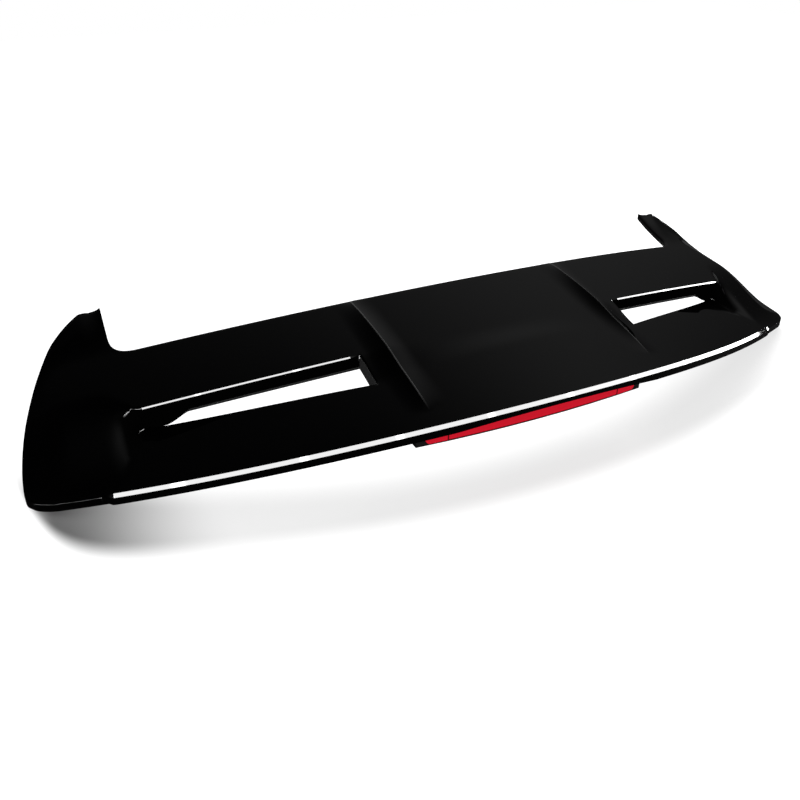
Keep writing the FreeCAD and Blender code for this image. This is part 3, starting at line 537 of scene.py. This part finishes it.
def deck_height(x, y):
    ahead = y - front_y(x)
    deck = front_z(x) + DECK_SLOPE * ahead
    if ahead > 0.0:
        deck += NOSE_RISE * (ahead / NOSE_RUN) ** 2
        deck += ARM_RISE * smooth((x - NOTCH_X) / ARM_TIP_WIDTH) * (ahead / ARM_RUN) ** 2
    inside = (side_x(y) - x) / SIDE_RUN
    fall = clamp((SIDE_FALL_Y - y) / SIDE_FALL_RUN) ** SIDE_FALL_POWER
    if inside < 1.0:
        deck -= SIDE_FALL * fall * (1.0 - max(inside, SIDE_PAST)) ** 2
    return deck


def lip_height(x, y):
    return lip_z(x) + LIP_SLOPE * (y - lip_y(x))


def base_height(x, y, part):
    return lip_height(x, y) * (1.0 - part) + deck_height(x, y) * part


def step_part(x, y):
    rear = step_rear(x)
    return smooth((y - rear) / (step_front(x) - rear))


def fin_rise(x, y):
    x = abs(x)
    part = (y - FIN_REAR_Y) / (front_y(CREST_X) - FIN_REAR_Y)
    if part <= 0.0 or part >= 1.0:
        return 0.0
    reach = (x - CREST_X) / FIN_OUTER_RUN if x >= CREST_X else (CREST_X - x) / FIN_INNER_RUN
    return FIN_HEIGHT * math.sin(math.pi * part) ** FIN_POWER * max(0.0, 1.0 - reach) ** 2


print("deck height at the front of the centre line", deck_height(0.0, FRONT_Y), "mm")

# %% [markdown]
# The upper skin starts as one flat grid from bmesh. Patches that are joined later would leave
# seams in the lacquer. In one grid the columns run across the car and the rows from the lip to
# the ends of the arms, so that the crests, the slots and the notches all fall on grid lines.

# %% Columns and rows
SEAM_X = 460.0
FIN_FOOT_X = 128.0
# Each run of columns: its first x, its last x and how many columns it has
INNER_RUNS = [
    (0.0, FIN_FOOT_X, 20),
    (FIN_FOOT_X, CREST_X, 15),
    (CREST_X, SLOT_INNER_X, 16),
    (SLOT_INNER_X, SLOT_TIP_X, 48),
    (SLOT_TIP_X, SCOOP_X, 12),
    (SCOOP_X, SEAM_X, 10),
]
OUTER_COLUMNS = 34
ROWS = {"lip": 6, "tail": 20, "slot": 12, "deck": 24, "arm": 12}


def run_columns():
    columns = [0.0]
    for first, last, count in INNER_RUNS:
        columns += [first + (last - first) * i / count for i in range(1, count + 1)]
    return columns


COLUMNS = run_columns()
SEAM = len(COLUMNS) - 1
HALF_COLUMNS = SEAM + OUTER_COLUMNS
ROW_ENDS = np.cumsum(list(ROWS.values()))
LIP_ROW, TAIL_ROW, SLOT_ROW, DECK_ROW, ARM_ROW = [int(v) for v in ROW_ENDS]
CREST_COLUMN = COLUMNS.index(CREST_X)
SLOT_COLUMN = COLUMNS.index(SLOT_INNER_X)
TIP_COLUMN = COLUMNS.index(SLOT_TIP_X)
SCOOP_COLUMN = COLUMNS.index(SCOOP_X)
print("grid of", 2 * HALF_COLUMNS, "columns and", ARM_ROW, "rows")

# %% [markdown]
# The wing is a patch with four curved sides: the seam to the middle, the lip with half of the
# corner, the rim with the other half, and the end of the arm. The corner is one rounded bend.

# %% Sides of the wing
NOTCH_ROUND = 30.0
ARM_TIP_Y = 208.0
ARM_STEP = 3.0
ARM_LEAN = 2.0
LIP_END_X = 560.0
LIP_SAMPLES = 30
CORNER_STEPS = 40
CORNER_MIDDLE = CORNER_STEPS // 2


def bezier(first, corner, last, k):
    pulled = np.array(corner) * 2 * k * (1 - k)
    return np.array(first) * (1 - k) ** 2 + pulled + np.array(last) * k * k


def front_line(x):
    start = NOTCH_X - NOTCH_ROUND
    if x <= start:
        return front_y(x)
    k = 1.0 - math.sqrt(max(0.0, 1.0 - (x - start) / NOTCH_ROUND))
    corner = (NOTCH_X, front_y(NOTCH_X))
    last = (NOTCH_X, front_y(NOTCH_X) + NOTCH_ROUND)
    return float(bezier((start, front_y(start)), corner, last, k)[1])


def even(line, count):
    at = distances(line)
    want = np.linspace(0.0, at[-1], count)
    return np.stack([np.interp(want, at, line[:, i]) for i in range(2)], axis=1)


def corner_curve():
    slope = lip_y(LIP_END_X) - lip_y(LIP_END_X - 1.0)
    last = (LIP_END_X, lip_y(LIP_END_X))
    corner = (HALF_WIDTH, last[1] + slope * (HALF_WIDTH - LIP_END_X))
    steps = np.linspace(0.0, 1.0, CORNER_STEPS + 1)
    return [bezier(RIM_POINTS[-1], corner, last, k) for k in steps]


CORNER = corner_curve()
LIP_LINE = [(x, lip_y(x)) for x in np.linspace(SEAM_X, LIP_END_X, LIP_SAMPLES)]
BOTTOM = even(np.array(LIP_LINE + CORNER[-2:CORNER_MIDDLE - 1:-1]), OUTER_COLUMNS + 1)
RIGHT = np.array(CORNER[CORNER_MIDDLE:0:-1] + list(RIM_LINE[::-1]))
ARM_END = [
    (NOTCH_X - ARM_LEAN, ARM_TIP_Y),
    (NOTCH_X + ARM_TIP_WIDTH / 2.0, ARM_TIP_Y - ARM_STEP),
    RIM_POINTS[0],
]
TOP = even(np.array(ARM_END), OUTER_COLUMNS + 1)
RIGHT_AT = distances(RIGHT)
# The rows reach the right side at these distances along it
ROW_MARKS = [0, LIP_ROW, TAIL_ROW, SLOT_ROW, DECK_ROW, ARM_ROW]
RIGHT_MARKS = [0.0, 13.0, 42.0, 56.0, 175.0, float(RIGHT_AT[-1])]
print("right side of the wing", round(RIGHT_MARKS[-1], 1), "mm long")

# %% [markdown]
# Each grid point now gets its place in plan. In the middle it keeps its column's x, and its row
# gives y between the form lines. On the wing it is blended from the four sides. The first rows
# keep fixed distances from the lip, because the narrow facet there must stay even.

# %% Places in plan
LIP_STEPS = [0.0, 2.0, 4.0, 6.0, 8.0, 11.0, 15.0]
LIP_DEPTH = LIP_STEPS[-1]
FACET_END_X = 505.0
SLOT_FACET_WIDTH = 1.4
TURN_RUN = 40.0


def row_part(row, first, last):
    return (row - first) / (last - first)


def inner_place(x, row):
    lip = lip_y(x)
    rear = step_rear(x)
    front = step_front(x)
    if row <= LIP_ROW:
        return x, lip + LIP_STEPS[row]
    if row <= TAIL_ROW:
        return x, lip + LIP_DEPTH + (rear - lip - LIP_DEPTH) * row_part(row, LIP_ROW, TAIL_ROW)
    if row <= SLOT_ROW:
        return x, rear + (front - rear) * row_part(row, TAIL_ROW, SLOT_ROW)
    part = row_part(min(row, DECK_ROW), SLOT_ROW + 1, DECK_ROW)
    if x > SLOT_INNER_X:
        lean = (x - SLOT_INNER_X) / (SEAM_X - SLOT_INNER_X)
        x = x + (NOTCH_X - SEAM_X) * part * lean ** 2
    edge = front_line(min(x, NOTCH_X))
    front = step_front(x) + SLOT_FACET_WIDTH
    return x, front + (edge - front) * part


def seam_place(row):
    if row > DECK_ROW:
        part = row_part(row, DECK_ROW, ARM_ROW)
        start = front_y(NOTCH_X) + NOTCH_ROUND
        return NOTCH_X - ARM_LEAN * part, start + (ARM_TIP_Y - start) * part
    return inner_place(SEAM_X, row)


def lip_place(step, row):
    inside = np.array(outer_place(step, LIP_ROW)) - BOTTOM[step]
    ahead = np.array((0.0, LIP_DEPTH))
    part = LIP_STEPS[row] / LIP_DEPTH
    turn = max(smooth((BOTTOM[step][0] - FACET_END_X) / TURN_RUN), part ** 2)
    place = BOTTOM[step] + (inside * turn + ahead * (1.0 - turn)) * part
    return float(place[0]), float(place[1])


def outer_place(step, row):
    if row < LIP_ROW:
        return lip_place(step, row)
    far = float(np.interp(row, ROW_MARKS, RIGHT_MARKS))
    left = np.array(seam_place(row))
    right = np.array([np.interp(far, RIGHT_AT, RIGHT[:, i]) for i in range(2)])
    s = step / OUTER_COLUMNS
    w = far / RIGHT_MARKS[-1]
    bottom = BOTTOM[step] - (1 - s) * BOTTOM[0] - s * BOTTOM[-1]
    top = TOP[step] - (1 - s) * TOP[0] - s * TOP[-1]
    place = (1 - s) * left + s * right + (1 - w) * bottom + w * top
    return float(place[0]), float(place[1])


print("rear corner of the wing", [round(v, 1) for v in outer_place(OUTER_COLUMNS, 0)])

# %% [markdown]
# Then each point gets its height. The lip and the front edge of each slot have a narrow facet,
# which catches the strip lamps as a white line. A bevel would give the facets one tilt from its
# own rule. Lowering the first points by a set amount gives the tilt that mirrors the lamps.

# %% Places in space
FACET_WIDTH = LIP_STEPS[2]
FACET_DROP = 2.85
FACET_FADE = 5.0
SLOT_FACET_DROP = 1.27
SLOT_FACET_FADE = 12.0
ROUND_RUN = 10.0


def facet_drop(x, row):
    keep = 1.0 - smooth((abs(x) - FACET_END_X) / FACET_FADE)
    part = clamp(1.0 - LIP_STEPS[row] / FACET_WIDTH) if row <= LIP_ROW else 0.0
    return FACET_DROP * part * keep


def slot_drop(x, row):
    begun = smooth((abs(x) - SLOT_INNER_X) / SLOT_FACET_FADE)
    ended = smooth((abs(x) - SCOOP_X) / SLOT_FACET_FADE)
    part = clamp(row_part(row, TAIL_ROW, SLOT_ROW)) if row <= SLOT_ROW else 0.0
    return SLOT_FACET_DROP * (begun * (1.0 - ended)) * part


def inner_part(x, row):
    part = clamp(row_part(row, TAIL_ROW, SLOT_ROW))
    roundness = smooth((abs(x) - SCOOP_X) / ROUND_RUN) if abs(x) > SLOT_INNER_X else 1.0
    return part + (smooth(part) - part) * roundness


def lay_point(column, row):
    side = -1.0 if column < HALF_COLUMNS else 1.0
    away = abs(column - HALF_COLUMNS)
    if away < SEAM:
        x, y = inner_place(COLUMNS[away], row)
        part = inner_part(x, row)
    else:
        x, y = seam_place(row) if away == SEAM else outer_place(away - SEAM, row)
        part = step_part(x, y)
    height = base_height(x, y, part) + fin_rise(x, y) - facet_drop(x, row) - slot_drop(x, row)
    return Vector((side * x, y, height)) * MM


print("middle of the lip in mm", [round(v / MM, 1) for v in lay_point(HALF_COLUMNS, 0)])

# %% [markdown]
# Now the grid is made. Its squares over the two slots and in front of the deck are deleted, and
# the lines that must look sharp are marked: the facets and the crests of the fins.


# %% Grid of the upper skin
def keep_square(column, row):
    away = min(abs(column - HALF_COLUMNS), abs(column + 1 - HALF_COLUMNS))
    if row >= DECK_ROW and away < SEAM:
        return False
    return not (TAIL_ROW <= row < SLOT_ROW and SLOT_COLUMN <= away < TIP_COLUMN)


def is_sharp(first, last):
    away = [abs(column - HALF_COLUMNS) for column, _ in (first, last)]
    row = first[1]
    if row != last[1]:
        return first[0] == last[0] and away[0] == CREST_COLUMN
    at_slot = SLOT_COLUMN <= min(away) and max(away) <= SCOOP_COLUMN
    if at_slot and row in (TAIL_ROW, SLOT_ROW, SLOT_ROW + 1):
        return True
    return row in (0, LIP_STEPS.index(FACET_WIDTH))


def upper_skin_mesh():
    bm = bmesh.new()
    bmesh.ops.create_grid(bm, x_segments=2 * HALF_COLUMNS, y_segments=ARM_ROW, size=1.0)
    index = {}
    for vert in bm.verts:
        column = round((vert.co.x + 1.0) / 2.0 * 2 * HALF_COLUMNS)
        row = round((vert.co.y + 1.0) / 2.0 * ARM_ROW)
        index[vert] = (column, row)
    gone = []
    for face in bm.faces:
        column = min(index[v][0] for v in face.verts)
        row = min(index[v][1] for v in face.verts)
        if not keep_square(column, row):
            gone.append(face)
    for vert, (column, row) in index.items():
        vert.co = lay_point(column, row)
    for edge in bm.edges:
        if is_sharp(*[index[v] for v in edge.verts]):
            edge.smooth = False
    bmesh.ops.delete(bm, geom=gone, context="FACES")
    return bm, index


skin_bm, skin_index = upper_skin_mesh()
print("upper skin grid:", len(skin_bm.faces), "squares")

# %% [markdown]
# The rim and the walls of the slots stiffen the real skin and hide its thickness. The open edges
# are pulled down to make them, which keeps each wall in line with its edge. The front wall of a
# slot leans in under the deck, so that it doesn't mirror the lip. Towards the slot's tip it runs
# out to the height of the lip zone. A bevel rounds the rim, and Solidify gives the wall.

# %% Rim and slot walls
SKIN = 3.0
RIM = 10.0
SLOT_WALL = 20.5
EDGE_ROUND = 1.4
EDGE_SEGMENTS = 4
LENS_ARCH = 4.0
LENS_ARCH_X = 140.0
WALL_GROWS_X = 392.0
REAR_WALL_LEAST = 0.1
ROUND_START_X = 520.0


def rim_pull(place):
    arch = max(0.0, 1.0 - (place.x / MM / LENS_ARCH_X) ** 2)
    return Vector((0.0, 0.0, LENS_ARCH * arch - RIM if place.y < 0.0 else -RIM))


def tip_part(place):
    return smooth((abs(place.x) / MM - WALL_GROWS_X) / (SLOT_TIP_X - WALL_GROWS_X))


def front_wall_pull(place):
    x = abs(place.x) / MM
    step = place.z / MM - lip_height(x, step_rear(x))
    part = tip_part(place)
    under = UNDERCUT * (1.0 - part) - slot_width(x) * part
    return Vector((0.0, under, -SLOT_WALL * (1.0 - part) - step * part))


def rear_wall_pull(place):
    return Vector((0.0, 0.0, -RIM * max(REAR_WALL_LEAST, 1.0 - tip_part(place))))


def pull_down(bm, edges, pull):
    made = bmesh.ops.extrude_edge_only(bm, edges=edges)
    for item in made["geom"]:
        if isinstance(item, bmesh.types.BMVert):
            item.co += pull(item.co) * MM


def edge_kind(edge):
    places = [skin_index[v] for v in edge.verts]
    away = [abs(column - HALF_COLUMNS) for column, _ in places]
    rows = [row for _, row in places]
    if rows[0] == rows[1] == 0 and max(abs(v.co.x) for v in edge.verts) < ROUND_START_X * MM:
        return "lip"
    if max(away) <= TIP_COLUMN and rows[0] == rows[1] == SLOT_ROW:
        return "slot_front"
    if max(away) <= TIP_COLUMN and rows[0] == rows[1] == TAIL_ROW:
        return "slot_rear"
    at_end = away[0] == away[1] and away[0] in (SLOT_COLUMN, TIP_COLUMN)
    if at_end and all(TAIL_ROW <= row <= SLOT_ROW for row in rows):
        return "slot_end"
    return "rim"


def rim_and_walls(bm):
    # The edges at the ends of a slot are kept apart, because they get no wall
    open_edges = {kind: [] for kind in ("rim", "lip", "slot_front", "slot_rear", "slot_end")}
    for edge in bm.edges:
        if edge.is_boundary:
            open_edges[edge_kind(edge)].append(edge)
    pull_down(bm, open_edges["rim"] + open_edges["lip"], rim_pull)
    pull_down(bm, open_edges["slot_front"], front_wall_pull)
    pull_down(bm, open_edges["slot_rear"], rear_wall_pull)
    bmesh.ops.bevel(
        bm, geom=open_edges["rim"], offset=EDGE_ROUND * MM, offset_type="OFFSET", segments=EDGE_SEGMENTS,
        profile=0.5, affect="EDGES", clamp_overlap=True, material=-1)
    for face in bm.faces:
        face.smooth = True


def upper_skin_shell(bm):
    mesh = bpy.data.meshes.new("upper_skin_shell")
    bm.to_mesh(mesh)
    bm.free()
    shell = bpy.data.objects.new("upper_skin_shell", mesh)
    bpy.context.scene.collection.objects.link(shell)
    wall = shell.modifiers.new("wall", "SOLIDIFY")
    wall.thickness = SKIN * MM
    wall.offset = -1.0
    wall.use_even_offset = False
    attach(shell, "root")
    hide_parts("upper_skin")
    return shell


rim_and_walls(skin_bm)
shell = upper_skin_shell(skin_bm)
print("upper skin shell:", len(shell.data.polygons), "faces")

# %% [markdown]
# Four studs hold the spoiler to the tailgate. The CAD model has them as plain rods. A bump could
# hint at the thread, but its outline would stay smooth. So each stud is turned again from its
# outline, and a ridge that climbs by one pitch in each turn becomes the thread.

# %% Threaded studs
STUD_RADIUS = 3.0
STUD_STEPS = 48
STUD_FOOT = -24.0
STUD_CHAMFER = 0.7
THREAD_PITCH = 1.0
THREAD_DEPTH = 0.55
THREAD_SUNK = 0.1
THREAD_TURNS = 21
THREAD_START = -23.0
TURN_STEPS = 24
CORE = STUD_RADIUS - THREAD_DEPTH
MERGE_NEAR = 0.002
FULL_TURN = 2.0 * math.pi
# Radius and height of each corner, from the top of the head down to the foot
STUD_OUTLINE = [
    (0.0, 6.0),
    (9.5, 6.0),
    (10.0, 5.5),
    (10.0, 3.5),
    (9.5, 3.0),
    (4.6, 3.0),
    (4.6, 0.0),
    (CORE, 0.0),
    (CORE, STUD_FOOT + STUD_CHAMFER),
    (CORE - STUD_CHAMFER, STUD_FOOT),
    (0.0, STUD_FOOT),
]
THREAD_OUTLINE = [
    (CORE - THREAD_SUNK, 0.0),
    (STUD_RADIUS, THREAD_PITCH / 2.0),
    (CORE - THREAD_SUNK, THREAD_PITCH),
]
INNER_STUD = (250.0, 0.0, 0.0)
OUTER_STUD = (520.0, 110.0, -54.0)


def turned(bm, centre, outline, lift, angle, steps):
    points = [centre + Vector((radius, 0.0, height)) * MM for radius, height in outline]
    verts = [bm.verts.new(point) for point in points]
    edges = [bm.edges.new(pair) for pair in zip(verts, verts[1:])]
    climb = Vector((0.0, 0.0, lift * MM / steps))
    bmesh.ops.spin(
        bm, geom=verts + edges, cent=centre, axis=(0.0, 0.0, 1.0), dvec=climb, angle=angle, steps=steps,
        use_merge=lift == 0.0)


def threaded_studs(name, node, centre):
    bm = bmesh.new()
    for side in (-1.0, 1.0):
        middle = Vector((side * centre[0], centre[1], centre[2])) * MM
        turned(bm, middle, STUD_OUTLINE, 0.0, FULL_TURN, STUD_STEPS)
        foot = middle + Vector((0.0, 0.0, THREAD_START * MM))
        rise = THREAD_TURNS * THREAD_PITCH
        turned(bm, foot, THREAD_OUTLINE, rise, FULL_TURN * THREAD_TURNS, TURN_STEPS * THREAD_TURNS)
    bmesh.ops.remove_doubles(bm, verts=bm.verts, dist=MERGE_NEAR * MM)
    bmesh.ops.recalc_face_normals(bm, faces=bm.faces)
    mesh = bpy.data.meshes.new(name)
    bm.to_mesh(mesh)
    bm.free()
    item = bpy.data.objects.new(name, mesh)
    bpy.context.scene.collection.objects.link(item)
    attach(item, "root")
    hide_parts(node)
    print(name, len(mesh.polygons), "faces")
    return item


stud_items = [
    threaded_studs("inner_threaded_studs", "inner_studs", INNER_STUD),
    threaded_studs("outer_threaded_studs", "outer_studs", OUTER_STUD),
]

# %% [markdown]
# A finish is one Principled shader. What is the same all over is set on its sockets, and what
# changes over the surface is linked. A finish may also name a part of the surface that stays
# unpolished, and there a plain dark shader takes over.

# %% How a finish is made
UNPOLISHED_COLOUR = (0.002, 0.002, 0.002, 1.0)


def finish(name, constants, varying):
    material = bpy.data.materials.new(name)
    material.use_nodes = True
    tree = material.node_tree
    shader = tree.nodes["Principled BSDF"]
    for socket, value in constants.items():
        shader.inputs[socket].default_value = value
    inputs = varying(tree)
    unpolished = inputs.pop("Unpolished", None)
    for socket, value in inputs.items():
        tree.links.new(value.socket, shader.inputs[socket])
    if unpolished:
        polished = Wire(tree, shader.outputs[0])
        plain = add_node(tree, "ShaderNodeBsdfDiffuse", {}, {"Color": UNPOLISHED_COLOUR})
        both = add_node(tree, "ShaderNodeMixShader", {}, [unpolished, polished, plain])
        tree.links.new(both.socket, tree.nodes["Material Output"].inputs["Surface"])
    return material


def rough(levels, pattern):
    least, added = levels
    return least + added * pattern


print("finishes can be made")

# %% [markdown]
# The skin is black plastic under clear lacquer: almost no colour of its own, a very smooth face,
# and a faint ripple that keeps its mirror image from being perfect. Along each fin's crest the
# base colour is lighter in a thin line, a painted highlight. Inside the slots the photograph stays
# black, where lacquer would mirror the strip lamps. So the slots' walls, and a patch round each
# slot's outer end, have no gloss.

# %% Lacquer
GLOSS = {"Specular IOR Level": 0.5, "Coat Weight": 1.0, "Coat Roughness": 0.02}
LACQUER_COLOUR = (0.0006, 0.0006, 0.0007, 1.0)
LACQUER_ROUGHNESS = (0.025, 0.03)
# Noise has a scale and a detail, a bump has a strength and a depth in mm
HAZE = (9.0, 3.0)
RIPPLE = (60.0, 1.0)
RIPPLE_BUMP = (0.02, 0.05)
# The painted highlight along each crest, in metres: how far it reaches to the sides
# and where it begins at the rear
CREST_HIGHLIGHT_COLOUR = (0.06, 0.06, 0.06, 1.0)
CREST_HIGHLIGHT_LINE = (0.0004, 0.0012)
CREST_HIGHLIGHT_REAR = (-0.19, -0.15)
# The slots, in mm: how near the front edge, how upright, and the patch round the outer end
WALL_NEAR = (8.0, 12.0)
WALL_FACING = (0.35, 0.55)
WALL_BEGINS = (185.0, SLOT_INNER_X)
END_START = (452.0, 458.0)
END_STOP = (472.0, 484.0)
END_REAR = (-45.0, -36.0)
END_FRONT = (3.0, 8.0)


def slot_depths(tree):
    place = place_on(tree)
    across = axis_of(tree, place, "X").math("ABSOLUTE") / MM
    along = axis_of(tree, place, "Y") / MM
    past = along - SLOT_FRONT_Y - SLOT_BOW * (across / HALF_WIDTH) ** 2
    facing = axis_of(tree, add_node(tree, "ShaderNodeNewGeometry", output="Normal"), "Z")
    upright = 1 - ramp(tree, facing, *WALL_FACING)
    wall = (1 - ramp(tree, past.math("ABSOLUTE"), *WALL_NEAR)) * upright
    wall = wall * ramp(tree, across, *WALL_BEGINS)
    end = ramp(tree, across, *END_START) * (1 - ramp(tree, across, *END_STOP))
    end = end * ramp(tree, past, *END_REAR) * (1 - ramp(tree, past, *END_FRONT))
    return wall.math("MAXIMUM", end)


def lacquer(tree):
    place = place_on(tree)
    beside = (axis_of(tree, place, "X").math("ABSOLUTE") - CREST_X * MM).math("ABSOLUTE")
    along = axis_of(tree, place, "Y")
    # Painted highlight: the base colour turns lighter in a thin line along each crest
    crest_highlight = (1 - ramp(tree, beside, *CREST_HIGHLIGHT_LINE)) * ramp(tree, along, *CREST_HIGHLIGHT_REAR)
    return {
        "Base Color": mixed(tree, crest_highlight, LACQUER_COLOUR, CREST_HIGHLIGHT_COLOUR),
        "Roughness": rough(LACQUER_ROUGHNESS, noise_on(tree, *HAZE)),
        "Normal": bumped(tree, noise_on(tree, *RIPPLE), *RIPPLE_BUMP),
        "Unpolished": slot_depths(tree),
    }


FINISHES = {"gloss_black": finish("gloss_black", GLOSS, lacquer)}
print("lacquer ready")

# %% [markdown]
# The closing panel and the lamp's tub come from a grained mould. A smooth grey would look like
# paint, so fine noise makes the grain and its rough spots, and a slow noise varies the tone.

# %% Moulded plastic
GRAIN = (900.0, 3.0)
GRAIN_BUMP = (0.35, 0.25)
TONE = (25.0, 2.0)
MOULDED_DARK = (0.022, 0.022, 0.023, 1.0)
MOULDED_LIGHT = (0.040, 0.040, 0.041, 1.0)
MOULDED_ROUGHNESS = (0.55, 0.2)


def moulded(tree):
    grain = noise_on(tree, *GRAIN)
    return {
        "Base Color": mixed(tree, noise_on(tree, *TONE), MOULDED_DARK, MOULDED_LIGHT),
        "Roughness": rough(MOULDED_ROUGHNESS, grain),
        "Normal": bumped(tree, grain, *GRAIN_BUMP),
    }


FINISHES["matt_black"] = finish("matt_black", {}, moulded)
FINISHES["lamp_black"] = finish("lamp_black", {}, moulded)
print("moulded plastic ready")

# %% [markdown]
# The lens is clear red plastic with fine ribs. Light that goes in and out of real plastic makes
# it brighter than paint. Tracing that would need a lit lamp behind it, so the lens gives off a
# little red light of its own. Two thin dark dividers and the dark foot follow the photograph.

# %% Lens
DIVIDER_X = 125.0
DIVIDER_WIDTH = 0.9
LENS_FOOT_Z = -52.2
LENS_RED = (0.90, 0.014, 0.035, 1.0)
LENS_DARK = (0.10, 0.004, 0.006, 1.0)
# The emission is a painted glow, standing in for light that passes through the plastic
LENS_GLOSS_AND_GLOW = {"Coat Weight": 0.6, "Emission Strength": 0.45}
LENS_ROUGHNESS = (0.10, 0.06)
LENS_CLOUD = 40.0
RIB_PITCH = 2.4
RIB_BUMP = (0.25, 0.3)


def red_plastic(tree):
    place = place_on(tree)
    across = axis_of(tree, place, "X").math("ABSOLUTE")
    height = axis_of(tree, place, "Z")
    divider = (across - DIVIDER_X * MM).math("ABSOLUTE").math("LESS_THAN", DIVIDER_WIDTH * MM)
    inside = across.math("LESS_THAN", DIVIDER_X * MM)
    foot = height.math("LESS_THAN", LENS_FOOT_Z * MM) * inside
    ribs = (height * (FULL_TURN / (RIB_PITCH * MM))).math("SINE")
    colour = mixed(tree, divider.math("MAXIMUM", foot), LENS_RED, LENS_DARK)
    return {
        "Base Color": colour,
        "Emission Color": colour,
        "Roughness": rough(LENS_ROUGHNESS, noise_on(tree, LENS_CLOUD)),
        "Normal": bumped(tree, ribs, *RIB_BUMP),
    }


FINISHES["red_lens"] = finish("red_lens", LENS_GLOSS_AND_GLOW, red_plastic)
print("lens ready")

# %% [markdown]
# The small pieces: screws and studs of steel, a bright reflector, a green board with pale diodes,
# and black foam. Each has one colour all over, so only its roughness varies, and the foam has
# its cells as a bump.

# %% Small pieces
STEEL = {"Base Color": (0.55, 0.55, 0.55, 1.0), "Metallic": 1.0}
BRIGHT = {"Base Color": (0.9, 0.9, 0.9, 1.0), "Metallic": 1.0}
METAL_ROUGHNESS = (0.22, 0.2)
METAL_CLOUD = 300.0
BOARD = {"Base Color": (0.02, 0.12, 0.05, 1.0)}
DIODE = {"Base Color": (0.85, 0.8, 0.6, 1.0)}
BOARD_ROUGHNESS = (0.30, 0.1)
BOARD_CLOUD = 200.0
FOAM = {"Base Color": (0.03, 0.03, 0.03, 1.0)}
FOAM_CELLS = (700.0, 4.0)
FOAM_ROUGHNESS = (0.8, 0.15)
FOAM_BUMP = (0.6, 0.4)


def plain_metal(tree):
    return {"Roughness": rough(METAL_ROUGHNESS, noise_on(tree, METAL_CLOUD))}


def painted_board(tree):
    return {"Roughness": rough(BOARD_ROUGHNESS, noise_on(tree, BOARD_CLOUD))}


def foam_cells(tree):
    cells = noise_on(tree, *FOAM_CELLS)
    return {"Roughness": rough(FOAM_ROUGHNESS, cells), "Normal": bumped(tree, cells, *FOAM_BUMP)}


FINISHES["steel"] = finish("steel", STEEL, plain_metal)
FINISHES["bright"] = finish("bright", BRIGHT, plain_metal)
FINISHES["board"] = finish("board", BOARD, painted_board)
FINISHES["diode"] = finish("diode", DIODE, painted_board)
FINISHES["foam"] = finish("foam", FOAM, foam_cells)
print("finishes:", len(FINISHES))

# %% [markdown]
# Last, every piece gets its finish: the new skin and studs by hand, and the CAD pieces from one
# table, so that a piece without a finish stops the script.

# %% Finishes on the pieces
NODE_FINISH = {
    "upper_skin": "gloss_black",
    "lower_skin": "matt_black",
    "skin_screws": "steel",
    "front_tape": "foam",
    "left_arm_tape": "foam",
    "right_arm_tape": "foam",
    "inner_studs": "steel",
    "outer_studs": "steel",
    "inner_stud_seals": "foam",
    "outer_stud_seals": "foam",
    "lamp_lens": "red_lens",
    "lamp_housing": "lamp_black",
    "lamp_board": "board",
    "lamp_reflector": "bright",
    "lamp_leds": "diode",
    "lamp_gasket": "foam",
    "lamp_connector": "lamp_black",
    "lamp_screws": "steel",
}
shell.data.materials.append(FINISHES["gloss_black"])
for item in stud_items:
    item.data.materials.append(FINISHES["steel"])
for name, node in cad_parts.items():
    node.data.materials.clear()
    node.data.materials.append(FINISHES[NODE_FINISH[name]])
print("pieces with a finish:", len(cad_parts) + 1 + len(stud_items))
